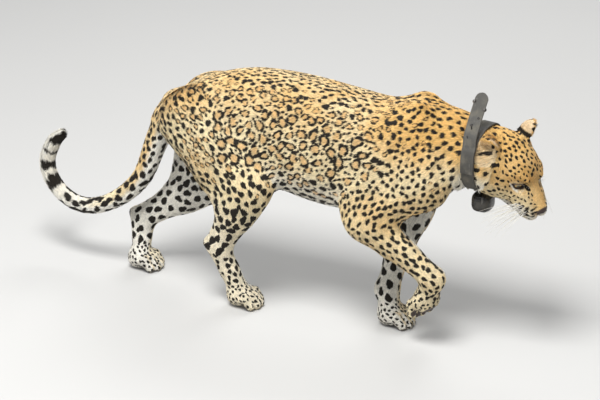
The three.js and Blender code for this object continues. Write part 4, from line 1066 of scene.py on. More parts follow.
@dataclass(frozen=True)
class CoatTones:
    """Colours of the leopard's coat."""

    tawny: tuple = (0.77, 0.48, 0.155)
    cream: tuple = (0.87, 0.74, 0.465)
    white: tuple = (0.88, 0.85, 0.77)
    core: tuple = (0.70, 0.42, 0.15)
    black: tuple = (0.014, 0.010, 0.006)
    leather: tuple = (0.035, 0.022, 0.019)

    def group(self) -> Tree:
        """Group that turns the markings kept on a mesh into the coat's colour, with painted shade towards the
        tufts' roots.
        """
        inputs = {"Dark": 0.0, "Warm": 0.5, "White": 0.0, "Core": 0.0, "Tone": 0.5, "Along": 0.5}
        tree, r, start = make_group("coat_colour", inputs, {"Color": "Color"})
        get = start.outputs
        patchy = r.noise(9, 3)
        warm = r.sum("ADD", get["Warm"], r.spread(patchy, 0.3, 0.7, -0.14, 0.14))
        ground = r.blend(self.cream, self.tawny, r.spread(warm, 0.0, 1.0))
        ground = r.blend(ground, self.white, get["White"])
        ground = r.blend(ground, self.core, r.sum("MULTIPLY", get["Core"], 0.7))
        shade = r.spread(get["Tone"], 0.0, 1.0, 0.68, 1.26)
        ground = r.blend(ground, shade, 1.0, "MULTIPLY")
        # painted shade: darker towards each tuft's root, where the coat shades itself
        root = r.spread(get["Along"], 0.0, 0.7, 0.78, 1.0)
        ground = r.blend(ground, root, 1.0, "MULTIPLY")
        colour = r.blend(ground, self.black, r.spread(get["Dark"], 0.25, 0.75))
        close_group(r, {"Color": colour})
        return tree


@dataclass(frozen=True)
class FurFinish:
    """Fur tufts: soft and slightly glossy along the back."""

    roughness: float = 0.62
    sheen: float = 0.08

    def material(self, group: Tree) -> Material:
        """The tufts' material."""
        material, r = new_material("leopard_fur")
        coat = r.coat(group, r.stored("tone"), r.stored("along"))
        streak = r.noise(900, 2)
        rough = r.spread(streak, 0.3, 0.7, self.roughness - 0.08, self.roughness + 0.12)
        r.finish({
            "Base Color": coat, "Roughness": rough, "Specular IOR Level": 0.28,
            "Sheen Weight": self.sheen, "Sheen Roughness": 0.45,
            "Normal": r.bump(streak, 0.35, 0.0006),
        })
        return material


@dataclass(frozen=True)
class SkinFinish:
    """Skin with the coat's markings, bare leather on the nose, lips, lids and pads."""

    tones: CoatTones

    def material(self, group: Tree) -> Material:
        """The skin's material."""
        material, r = new_material("leopard_skin")
        # the skin under the tufts is darkened like a tuft's root: painted shade deep in the coat
        coat = r.coat(group, r.spread(r.noise(420, 2), 0.3, 0.7), 0.25)
        bare = r.stored("bare")
        pebble = r.node("TexVoronoi", {"Vector": r.node("TexCoord").outputs["Object"], "Scale": 850.0})
        leather = r.blend(self.tones.leather, (0.055, 0.034, 0.029), r.noise(160, 3))
        colour = r.blend(coat, leather, bare)
        hair = r.noise(1300, 3)
        height = r.sum("ADD", r.sum("MULTIPLY", hair, r.sum("SUBTRACT", 1.0, bare)),
                       r.sum("MULTIPLY", pebble.outputs["Distance"], bare))
        r.finish({
            "Base Color": colour, "Roughness": r.spread(bare, 0.0, 1.0, 0.8, 0.42),
            "Specular IOR Level": 0.35, "Normal": r.bump(height, 0.55, 0.0009),
        })
        return material


# Where the coat grows and how it is marked


class Part(Enum):
    """Parts of the animal that its coat changes between."""

    TRUNK = 0
    HEAD = 1
    FORELEG = 2
    HINDLEG = 3
    TAIL = 4

    @property
    def many(self) -> str:
        """Ending of the coat's name on a part that there is more than one of."""
        return "s" if self in (Part.FORELEG, Part.HINDLEG) else ""


class Spot(Enum):
    """Kinds of spot."""

    SOLID = 0
    RING = 1


def follow(p: Array, line: Array) -> tuple[Array, Array, Array, Array]:
    """Runs along a line beside places.

    Args:
        p: Places.
        line: Points of the line.

    Returns:
        Distance from the line, share of its length, direction of the line and way out from it.
    """
    steps = np.diff(line, axis=0)
    lengths = np.linalg.norm(steps, axis=1)
    past = np.concatenate([[0], np.cumsum(lengths)])
    best, run = np.full(len(p), np.inf), np.zeros(len(p))
    way, out = np.zeros((len(p), 3)), np.zeros((len(p), 3))
    for i, step in enumerate(steps):
        t = np.clip((p - line[i]) @ step / (step @ step), 0, 1)
        off = p - line[i] - t[:, None] * step
        d = np.linalg.norm(off, axis=1)
        near = d < best
        best[near], run[near] = d[near], (past[i] + t[near] * lengths[i]) / past[-1]
        way[near], out[near] = step / lengths[i], off[near]
    return best, run, way, unit(out)


@dataclass
class Chart:
    """Places of the coat: where they lie on the animal and which way the hair runs there."""

    places: Array
    normals: Array
    part: Array
    run: Array
    height: Array
    inner: Array
    upper: Array
    head: Array
    lie: Array

    @classmethod
    def read(cls, body: Body, p: Array, n: Array) -> "Chart":
        """Reads the chart of a body.

        Args:
            body: The animal.
            p: Places in millimetres.
            n: Directions out of the skin there.

        Returns:
            The chart.
        """
        x, _, z = p.T
        top, _, low, _ = body.trunk.section(x)
        height = np.clip((z - low) / (top - low), 0, 1)
        part = np.full(len(p), Part.TRUNK.value)
        run, inner, upper = np.zeros(len(p)), np.zeros(len(p)), n[:, 2].copy()
        droop = 0.12 + 0.4 * ease((0.95 - height) / 0.5)
        lie = np.stack([-np.ones(len(p)), np.zeros(len(p)), -droop], 1)
        chest = ease((x - 400) / 70) * ease((560 - z) / 120)
        lie += chest[:, None] * vec(0.5, 0, -0.9)
        rump = ease((-330 - x) / 60)
        lie += rump[:, None] * vec(0.4, 0, -0.7)
        best = body.trunk.shape(p)
        for leg in body.legs:
            d = leg.distance(p)
            line = smooth_line(leg.chain(), 4)
            _, along, way, _ = follow(p, line)
            share = ease(0.5 + (best - d) / 50)
            lie = mix(lie, way, share[:, None])
            mine = d < best
            kind = Part.HINDLEG if isinstance(leg, HindLeg) else Part.FORELEG
            part[mine], run[mine] = kind.value, along[mine]
            side = 1 if leg.chain()[0][1] > 0 else -1
            inner[mine] = ease((-n[mine, 1] * side + 0.15) / 0.6) * ease((500 - z[mine]) / 70)
            best = np.minimum(best, d)
        d = body.tail.distance(p)
        mine = (d < best) & (z < 520)
        _, along, way, out = follow(p[mine], body.tail.line()[:, :3])
        part[mine], run[mine], lie[mine] = Part.TAIL.value, along, way
        upper[mine] = (out * np.cross([0, 1.0, 0], way)).sum(1)
        best = np.minimum(best, d)
        q = body.head.to_head(p)
        side = np.where(q[:, 1] < 0, -1.0, 1.0)
        q[:, 1] = np.abs(q[:, 1])
        mine = (body.head.distance(p) < best) & (q[:, 0] > -150)
        part[mine] = Part.HEAD.value
        lie[mine] = cls.face_lie(body.head, q[mine], side[mine])
        lie = unit(lie - n * (lie * n).sum(1)[:, None])
        return cls(p, n, part, run, height, inner, upper, q, lie)

    @staticmethod
    def face_lie(head: Head, q: Array, side: Array) -> Array:
        """Lie of the hair on the head, from the nose back and round the eyes.

        Args:
            head: The head.
            q: Places in its frame, brought to the left side.
            side: 1 for places of the left side, -1 for the right.

        Returns:
            Directions in the makers' frame.
        """
        u, _, w = q.T
        lie = np.tile(vec(-1, 0, 0.1), (len(q), 1))
        low = ease((-12 - w) / 30)
        lie += low[:, None] * vec(0.1, 0.35, -0.55)
        ruff = ease((-60 - u) / 50) * ease((10 - w) / 30)
        lie += ruff[:, None] * vec(0.2, 0.2, -0.5)
        from_eye = q - vec(*head.eye_at)
        near = ease((34 - np.linalg.norm(from_eye, axis=1)) / 20)
        lie += near[:, None] * unit(from_eye) * 0.9
        for ear, mine in ((head.ear_left, side > 0), (head.ear_right, side < 0)):
            off = q - vec(*ear.place)
            share = ease((ear.tall + 14 - np.linalg.norm(off, axis=1)) / 16) * mine
            lie = mix(lie, ear.tip, share[:, None])
        lie[:, 1] *= side
        return lie @ head.frame()

    def on(self, *parts: Part) -> Array:
        """Which places lie on some parts."""
        return np.isin(self.part, [part.value for part in parts])

    def pick(self, chosen: Array) -> "Chart":
        """The chart of some of its places."""
        return Chart(*[getattr(self, part.name)[chosen] for part in fields(self)])

    def from_paw(self, leg: Leg) -> Array:
        """Distance from the middle of a paw."""
        return np.linalg.norm(self.places - leg.paw.step(24, 0, 0), axis=1)


@dataclass(frozen=True)
class Marks:
    """The leopard's markings, from its ground colour to its spots."""

    body: Body
    seed: int = 11
    soft: float = 0.9
    warp: float = 0.9
    tail_bands: tuple = ((0.755, 0.815), (0.833, 0.885), (0.904, 0.932), (0.946, 1.01))
    lip_rows: tuple = ((16, 80, 2.0), (24, 84, 2.5), (32, 82, 2.3), (39, 74, 1.9))
    filler: tuple = (11, 5.3, 4.2, 0)

    def ear_zones(self, c: Chart) -> tuple[Array, Array, Array]:
        """Inside, back and tip of the ears."""
        inside, back, tip = (np.zeros(len(c.places)) for _ in range(3))
        head = self.body.head
        raw_side = head.to_head(c.places)[:, 1]
        normal = c.normals @ head.frame().T
        normal[:, 1] *= np.where(raw_side < 0, -1, 1)
        for ear, mine in ((head.ear_left, raw_side > 0), (head.ear_right, raw_side <= 0)):
            across, out, up = ear.frame()
            off = c.head - vec(*ear.place)
            near = mine & (np.abs(off @ up + 4) < ear.tall + 2) & (np.abs(off @ across) < ear.wide + 1)
            facing = normal @ out
            size = (ear.wide - 2.5, ear.deep + 4.5, ear.tall - 3.5)
            bowl = ball(c.head, vec(*ear.place) + out * 13 - up, size, ear.frame())
            inside += near * (bowl < 2.6) * ease((facing + 0.3) / 0.25)
            near &= c.on(Part.HEAD) & (off @ up > -24) & (ear.shape(c.head) < 1.5)
            behind = ease((-facing + 0.1) / 0.3) * ease((4 - off @ out) / 5)
            back += near * behind * ease((off @ up + 14) / 10)
            tip += near * ease((off @ up - 2) / 8)
        return np.clip(inside, 0, 1), np.clip(back, 0, 1), np.clip(tip, 0, 1)

    def ground(self, c: Chart) -> tuple[Array, Array]:
        """How tawny and how white the coat is between its spots."""
        fore = ease((c.places[:, 0] - 180) / 260)
        warm = 0.1 + 0.4 * ease((c.height - 0.45) / 0.45) + 0.5 * fore * ease((c.height - 0.2) / 0.35)
        white = ease((0.2 - c.height) / 0.14) * ease((0.25 - c.normals[:, 2]) / 0.6)
        down = ease((-c.normals[:, 2] + 0.25) / 0.5)
        white = np.maximum(white, 0.75 * ease((0.42 - c.height) / 0.3) * down)
        hind, legs = c.on(Part.HINDLEG), c.on(Part.FORELEG, Part.HINDLEG)
        pale = np.where(hind, 0.45 * ease((c.run - 0.3) / 0.35), 0.15 * ease((c.run - 0.6) / 0.3))
        leg_warm = np.where(c.on(Part.FORELEG), 0.4, 0.22) - 0.2 * ease((c.run - 0.25) / 0.5)
        blend = ease((0.45 - c.height) / 0.3)
        warm = np.where(legs, warm * (1 - blend) + leg_warm * blend, warm)
        white = np.where(legs, np.maximum(c.inner * 0.95, pale), white)
        tail = c.on(Part.TAIL)
        warm = np.where(tail, 0.55 - 0.5 * ease((c.run - 0.25) / 0.35), warm)
        under = ease((0.25 - c.upper) / 0.7)
        white = np.where(tail, np.clip(under + 0.85 * ease((c.run - 0.42) / 0.25), 0, 1), white)
        head = self.body.head
        u, v, w = c.head.T
        face = 0.85 - 0.65 * ease((10 - w) / 50) * ease((v - 12) / 20) - 0.1 * ease((u - 10) / 40)
        warm = np.where(c.on(Part.HEAD), face, warm)
        chin = ease((head.mouth_line(u, v) - 2 - w) / 7) * ease((u + 10) / 30)
        throat = ease((-58 - w) / 26) * ease((60 - v) / 30)
        slot, ahead, beside = head.eye_slot(c.head)
        near_eye = (ahead > -8) & (np.abs(c.head - vec(*head.eye_at)).max(1) < 34)
        low = 0.9 * ease((beside + 9) / 6) * (w < head.eye_at[2] + 1)
        rim = near_eye * ease((9.5 - slot) / 3) * np.maximum(low, 0.15)
        side = 0.45 * ease((v - 8) / 10) * ease((-30 - w) / 14) * ease((u - 20) / 20)
        side = np.maximum(side, 0.85 * ease((-46 - w) / 8) * ease((u - 60) / 14))
        inside, back, tip = self.ear_zones(c)
        pale = np.max([chin, throat * 0.95, rim, side, tip * back * 0.35], axis=0)
        white = np.where(c.on(Part.HEAD), pale, white)
        warm, white = warm * (1 - 0.3 * inside), np.maximum(white, 0.22 * inside)
        uneven = ripple(c.places, 70, 3) * 0.06 + ripple(c.places, 18, 4) * 0.04
        return np.clip(warm + uneven, 0, 1), np.clip(white, 0, 1)

    def plan(self, c: Chart) -> Array:
        """Spacing, half length, half width and chance of a ring for a spot at each place."""
        x, _, z = c.places.T
        plan = np.tile(vec(28.5, 15.8, 15, 1.0), (len(x), 1))
        trunk, fore, hind = c.on(Part.TRUNK), c.on(Part.FORELEG), c.on(Part.HINDLEG)
        rules = (
            (trunk & (c.height < 0.34), (22, 12.2, 10.8, 0.6)),
            (trunk & (c.height < 0.16), (20, 10.8, 9, 0)),
            (trunk & (c.height > 0.78), (21.5, 12.2, 10.8, 0.85)),
            (trunk & (c.height > 0.9), (15.5, 8.4, 6.6, 0.3)),
            (trunk & (c.height > 0.95), (13.5, 8.2, 4.6, 0)),
            ((x < -190) & (c.height < 0.93), (19.5, 11, 9.6, 0.6)),
            ((x < -290) & (c.height < 0.93), (17.5, 9.2, 7.9, 0.15)),
            (fore | (trunk & (x > 270)), (18, 9.4, 8.3, 0.5)),
            (fore | (trunk & (x > 330)), (15, 7, 6, 0.1)),
            (trunk & (x > 390), (17.6, 7.8, 6.5, 0)),
            (trunk & (x > 440), (20, 8.2, 6.6, 0)),
            (trunk & (x > 400) & (c.height < 0.25), (22, 9, 5, 0)),
            (hind & (z < 430), (18.6, 9.8, 8.2, 0.1)),
            (hind & (z < 330), (23.5, 14, 10.8, 0)),
            (hind & (z < 165), (16.4, 7.8, 6.2, 0)),
            ((fore | hind) & (c.inner > 0.6), (25, 12.5, 9.5, 0)),
            (fore & (z < 440) & (c.inner < 0.6), (15.8, 8.4, 6, 0)),
            (c.on(Part.TAIL), (17.4, 9.4, 7.2, 0)),
            (c.on(Part.TAIL) & (c.run > 0.3), (20, 13.2, 9.3, 0)),
        )
        for where, values in rules:
            plan[where] = values
        for leg in self.body.legs:
            plan[c.from_paw(leg) < 62] = (10, 5.0, 3.7, 0)
        u, v, w = c.head.T
        head = c.on(Part.HEAD)
        for where, values in (
            (head, (12.6, 5.7, 4.7, 0)),
            (head & (w < -30) & (u < -30), (13.8, 5.6, 4.7, 0)),
            (head & (w > 10) & (u > -70), (11.6, 5.4, 3.8, 0)),
            (head & (w < 0) & (u > -20), (8.6, 3.8, 2.6, 0)),
            (head & (w > -2) & (u > -22) & (v > 16), (8.4, 3.8, 2.7, 0)),
        ):
            plan[where] = values
        return plan

    def bare_of_spots(self, c: Chart) -> Array:
        """Places that stay plain."""
        u, v, w = c.head.T
        head = c.on(Part.HEAD)
        nose = (u > 8) & (v < 17) & (w > -46)
        slot, ahead, _ = self.body.head.eye_slot(c.head)
        lids = (slot < 9) & (ahead > -6) & (v < 60) & (u > -40)
        lips = (u > 30) & (w < -26)
        ears = np.maximum(*self.ear_zones(c)[:2]) > 0.3
        ends = c.on(Part.TAIL) & (c.run > 0.735)
        return (head & (nose | lids | lips)) | ears | ends

    def scatter(self, c: Chart) -> "Stencil":
        """Sets out the spots over the skin, keeping them apart by the local spacing."""
        rng = np.random.default_rng(self.seed)
        plan = self.plan(c)
        plain = self.bare_of_spots(c)
        alive, open_ground = ~plain, ~plain & (plan[:, 3] > 0.5)
        chosen, filling = [], []
        for i in np.flatnonzero(alive):
            if not alive[i]:
                continue
            chosen.append(i)
            near = np.flatnonzero(np.abs(c.places - c.places[i]).max(1) < plan[i, 0])
            gap = np.linalg.norm(c.places[near] - c.places[i], axis=1)
            facing = c.normals[near] @ c.normals[i] > 0.1
            alive[near[(gap < plan[i, 0]) & facing]] = False
            open_ground[near[gap < 0.5 * plan[i, 0] + 6.5]] = False
        for i in np.flatnonzero(open_ground):
            if open_ground[i]:
                filling.append(i)
                open_ground[np.abs(c.places - c.places[i]).max(1) < self.filler[0]] = False
        plan[filling] = self.filler
        kept = np.array(chosen + filling)
        plan = plan[kept]
        ring = rng.random(len(kept)) < plan[:, 3]
        size = rng.uniform(0.82, 1.15, (len(kept), 2))
        angle = rng.normal(0, 0.32, len(kept))
        n, along = c.normals[kept], c.lie[kept]
        across = np.cross(n, along)
        turned = along * np.cos(angle)[:, None] + across * np.sin(angle)[:, None]
        size[~ring & (plan[:, 3] > 0.5)] *= 0.85
        kinds = np.where(ring, Spot.RING.value, Spot.SOLID.value)
        return Stencil(c.places[kept], n, turned, np.cross(n, turned), plan[:, 1:3] * size, kinds, self)

    def face(self, c: Chart) -> tuple[Array, Array]:
        """Black marks of the face, ears and tail, painted shade in the fold of each ear, and where the skin
        is bare.
        """
        head = self.body.head
        dark, bare = np.zeros(len(c.places)), np.zeros(len(c.places))
        on = c.on(Part.HEAD)
        q = c.head[on]
        slot, ahead, _ = head.eye_slot(q)
        near = (ahead > -7) & (np.abs(q - vec(*head.eye_at)).max(1) < 30)
        lid = near * ease((4.4 - slot) / 1.4)
        eye_axes = head.eye_frame()
        tear = 1 - ease((bar(q, (15, 26, 3), (29, 19, -4), 6.4, 4.6) + 1) / 2)
        outer = vec(*head.eye_at) + eye_axes[1] * 16
        tail_mark = 1 - ease((bar(q, outer, outer + vec(-12, 5, -3), 2.2, 1.2) + 1) / 2)
        line = head.mouth_line(q[:, 0], q[:, 1]) - q[:, 2]
        lip = ease((3.1 - np.abs(line - 0.6)) / 1.5) * ease((q[:, 0] - 4) / 8)
        jowl = 1 - ease((ball(q, (34, 24, -84), (25, 19, 12)) + 1) / 3)
        rows = np.zeros(len(q))
        for i, (rise, reach, thick) in enumerate(self.lip_rows):
            wave = np.sin((q[:, 0] + i * 3.4) * 2 * math.pi / (26 - 5 * i))
            bold = thick + thick * wave * (0.3 + 0.3 * i)
            row = ease((bold - np.abs(-line - rise) + 0.5) / 1.0)
            row *= ease((q[:, 0] - 30) / 8) * ease((reach - q[:, 0]) / 6) * (q[:, 1] > 14)
            rows = np.maximum(rows, row)
        nose = ball(q, (86, 0, -39), (16, 21, 15))
        leather = 1 - ease((nose + 1.2) / 2.2)
        slit = 1 - ease(bar(q, (92, 0, -48), (84, 0, -62), 1.6, 1.6) / 1.5)
        inside, back, tip = self.ear_zones(c)
        # painted shade: a dark line low inside each ear, where it folds
        fold_shade = 1 - ease((bar(c.head, (-101, 96, 38), (-87, 78, 47), 3.4, 2.6) - 0.5) / 3)
        ears = (back * (1 - tip))[on]
        dark[on] = np.max([lid, tear, tail_mark, lip * 0.95, jowl, rows, slit, ears], axis=0)
        bare[on] = np.max([leather, lip * 0.9, lid * 0.8], axis=0)
        dark = np.maximum(dark, 0.9 * inside * fold_shade)
        for leg in self.body.legs:
            near = c.from_paw(leg) < 75
            pads = 1 - ease((leg.paw.pads(c.places[near]) - 0.4) / 1.6)
            bare[near] = np.maximum(bare[near], pads)
        tail = c.on(Part.TAIL)
        waver = ripple(c.places, 30, 9) * 0.008
        for start, stop in self.tail_bands:
            band = ease((c.run + waver - start) / 0.008) * ease((stop - c.run - waver) / 0.008)
            dark = np.maximum(dark, np.where(tail, band * ease((c.upper + 0.55 + waver * 20) / 0.25), 0))
        return dark, bare


@dataclass
class Stencil:
    """The spots, ready to be laid on any places of the coat."""

    places: Array
    normals: Array
    along: Array
    across: Array
    half: Array
    kind: Array
    marks: Marks
    cell: float = 20.0

    def home(self, p: Array) -> Array:
        """Cells that places lie in."""
        return np.floor(p / self.cell).astype(np.int64) + 1000

    @staticmethod
    def key(cells: Array) -> Array:
        """One number for each cell."""
        return (cells[:, 0] * 4096 + cells[:, 1]) * 4096 + cells[:, 2]

    def lay(self, p: Array, n: Array) -> tuple[Array, Array]:
        """How dark the spots make places, and how far these lie inside a ring.

        Args:
            p: Places in millimetres.
            n: Directions out of the skin there.

        Returns:
            Darkness and share of the warmer middle.
        """
        keys = self.key(self.home(p))
        order = np.argsort(keys, kind="stable")
        names, first = np.unique(keys[order], return_index=True)
        ends = np.append(first[1:], len(keys))
        found = {int(k): (int(a), int(b)) for k, a, b in zip(names, first, ends)}
        wave = np.stack([ripple(p, 15, s) + 0.6 * ripple(p, 7, s + 5) for s in (21, 22, 23)], 1)
        moved = p + wave * self.marks.warp
        edge, core = np.full(len(p), 99.0), np.full(len(p), 99.0)
        rng = np.random.default_rng(self.marks.seed + 1)
        around = np.array(list(np.ndindex(3, 3, 3))) - 1
        for i, place in enumerate(self.places):
            picks = []
            for key in self.key(self.home(place) + around):
                span = found.get(int(key))
                if span:
                    picks.append(order[span[0]: span[1]])
            draw = rng.random((7, 3))
            if not picks:
                continue
            pick = np.concatenate(picks)
            pick = pick[n[pick] @ self.normals[i] > 0.2]
            d = moved[pick] - place
            u, v = d @ self.along[i], d @ self.across[i]
            if self.kind[i] == Spot.RING.value:
                ring, middle = self.ring(u, v, self.half[i], draw)
                core[pick] = np.minimum(core[pick], middle)
            else:
                ring = self.solid(u, v, self.half[i], draw)
            edge[pick] = np.minimum(edge[pick], ring)
        soft = self.marks.soft
        return 1 - ease((edge + soft) / (2 * soft)), 1 - ease((core + 2) / 6)

    @staticmethod
    def uneven(angle: Array, double: float, triple: float, first: float, second: float) -> Array:
        """Size of an outline round its middle, with two waves and three waves of given depths and turns."""
        return 1 + double * np.sin(2 * angle + first * 6.3) + triple * np.sin(3 * angle + second * 6.3)

    @classmethod
    def solid(cls, u: Array, v: Array, half: Array, draw: Array) -> Array:
        """Distance to a full spot with an uneven outline."""
        angle = np.arctan2(v / half[1], u / half[0])
        uneven = cls.uneven(angle, 0.12, 0.1, draw[0, 0], draw[0, 1])
        rho = np.sqrt((u / half[0]) ** 2 + (v / half[1]) ** 2) / uneven
        return (rho - 1) * half.min()

    @classmethod
    def ring(cls, u: Array, v: Array, half: Array, draw: Array) -> tuple[Array, Array]:
        """Distances to the blotches of a broken ring and to its middle.

        Args:
            u: Places along the spot.
            v: Places across it.
            half: Its half length and half width.
            draw: Seven rows of three random numbers.

        Returns:
            Both distances for each place.
        """
        count = 4 + int(draw[0, 2] * 2.6)
        radius = half.mean() * 0.82
        angle, off = np.arctan2(v * half[0] / half[1], u), np.hypot(u, v * half[0] / half[1])
        off = off / cls.uneven(angle, 0.13, 0.08, draw[2, 2], draw[3, 2])
        best = np.full(len(u), 99.0)
        for i in range(count):
            centre = (i + 0.55 * (draw[i, 0] - 0.5)) * 2 * math.pi / count + draw[1, 2] * 6.3
            span = math.pi / count * (0.25 + 0.45 * draw[i, 1])
            turn = (angle - centre + math.pi) % (2 * math.pi) - math.pi
            held = np.clip(turn, -span, span)
            reach = radius * (0.86 + 0.24 * draw[i, 2])
            d = np.sqrt(off ** 2 + reach ** 2 - 2 * off * reach * np.cos(turn - held))
            best = np.minimum(best, d - radius * (0.24 + 0.13 * draw[i, 0]))
        return best, off - radius * 0.85


# Skin and coat


FLESH = (
    "ear_left", "ear_right", "head", "neck", "torso", "hindleg_right", "hindpaw_right", "hindleg_left",
    "hindpaw_left", "foreleg_right", "forepaw_right", "foreleg_left", "forepaw_left", "tail_root",
    "tail_middle", "tail_bend", "tail_tip",
)


@dataclass(frozen=True)
class Close:
    """A box of the body that is meshed more finely."""

    low: tuple
    high: tuple
    step: float

    def holds(self, points: Array) -> Array:
        """Which points lie in the box."""
        return ((points > vec(*self.low)) & (points < vec(*self.high))).all(1)


@dataclass
class Skin:
    """One closed skin over the whole animal, under its coat."""

    body: Body
    frame: Frame
    marks: Marks
    step: float = 4.7
    low: tuple = (-872, -190, -16)
    high: tuple = (545, 190, 730)
    close: tuple = (
        Close((523, -135, 375), (770, 135, 690), 2.05),
        Close((200, -40, -9), (360, 90, 92), 2.6),
        Close((-240, -120, -9), (-60, 0, 92), 2.6),
        Close((-600, 0, -9), (-440, 110, 92), 2.6),
        Close((340, -130, -9), (500, 0, 172), 2.6),
    )
    points: Array = field(init=False)
    faces: Array = field(init=False)
    chart: Chart = field(init=False)
    map: Array = field(init=False)
    stencil: Stencil = field(init=False)

    def mesh(self) -> None:
        """Works out the skin's points and triangles."""
        values, start = sample(self.body.skin, self.low, self.high, self.step)
        points, quads = contour(values, start, self.step)
        for box in self.close:
            quads = quads[~box.holds(points)[quads].any(1)]
        all_points, all_faces = [points], [quads]
        total = len(points)
        joints = []
        coarse_rims = rims(quads)
        for box in self.close:
            pad = 3 * box.step
            values, start = sample(self.body.skin, vec(*box.low) - pad, vec(*box.high) + pad, box.step)
            fine, quads = contour(values, start, box.step)
            quads = quads[box.holds(fine)[quads].all(1)]
            own = max(rims(quads), key=len)
            middle = fine[own].mean(0)
            other = min((r for r in coarse_rims if len(r) > 8),
                        key=lambda r: float(np.linalg.norm(points[r].mean(0) - middle)))
            joints.append((other, [i + total for i in own]))
            all_points.append(fine)
            all_faces.append(quads + total)
            total += len(fine)
        joined = np.concatenate(all_points)
        quads = np.concatenate(all_faces)
        faces = [quads[:, [0, 1, 2]], quads[:, [0, 2, 3]]]
        faces += [bridge(joined, coarse, fine) for coarse, fine in joints]
        used, self.faces = np.unique(np.concatenate(faces), return_inverse=True)
        self.faces = self.faces.reshape(-1, 3)
        self.points = joined[used]

    def crosses(self) -> Array:
        """Direction out of each triangle, twice as long as its area."""
        a, b, c = (self.points[self.faces[:, i]] for i in range(3))
        return np.cross(b - a, c - a)

    def normals(self) -> Array:
        """Directions out of the skin at its points."""
        flat = self.crosses()
        total = np.zeros_like(self.points)
        for i in range(3):
            for axis in range(3):
                total[:, axis] += np.bincount(self.faces[:, i], flat[:, axis], len(self.points))
        return unit(total)

    def build(self, material: Material) -> None:
        """Makes the skin with its markings."""
        self.mesh()
        self.chart = Chart.read(self.body, self.points, self.normals())
        self.stencil = self.marks.scatter(self.seeding())
        log.info("spots: %d", len(self.stencil.places))
        thing = make_mesh("leopard_skin", self.frame.metres(self.points), [self.faces])
        dark, core = self.stencil.lay(self.points, self.chart.normals)
        warm, white = self.marks.ground(self.chart)
        own, bare = self.marks.face(self.chart)
        add_values(thing, "marks", np.stack([np.maximum(dark, own), warm, white, core], 1))
        add_values(thing, "bare", bare)
        dress(thing, material, FLESH)
        unwrap(thing)
        flat = np.empty(len(thing.data.loops) * 2, np.float32)
        thing.data.uv_layers[BAKE_MAP].data.foreach_get("uv", flat)
        self.map = flat.reshape(-1, 3, 2)

    def seeding(self) -> Chart:
        """Places that spots may start from, drawn evenly over the skin."""
        roots, _, _ = self.draw(np.full(len(self.faces), 1 / 20.0), 5)
        order = np.random.default_rng(6).permutation(len(roots.places))
        return roots.pick(order)

    def draw(self, density: Array, seed: int) -> tuple[Chart, Array, Array]:
        """Draws places on the skin.

        Args:
            density: Places to a square millimetre, one value for each triangle.
            seed: Chooses the draw.

        Returns:
            The chart of the places, their triangles and their shares of the three corners.
        """
        area = np.linalg.norm(self.crosses(), axis=1) / 2
        rng = np.random.default_rng(seed)
        past = np.cumsum(area * density)
        picks = np.searchsorted(past, np.arange(0.5, past[-1], 1.0))
        u, v = rng.random(len(picks)), rng.random(len(picks))
        over = u + v > 1
        u[over], v[over] = 1 - u[over], 1 - v[over]
        share = np.stack([1 - u - v, u, v], 1)
        corners = self.faces[picks]
        places = np.einsum("ij,ijk->ik", share, self.points[corners])
        normals = unit(np.einsum("ij,ijk->ik", share, self.chart.normals[corners]))
        return Chart.read(self.body, places, normals), picks, share


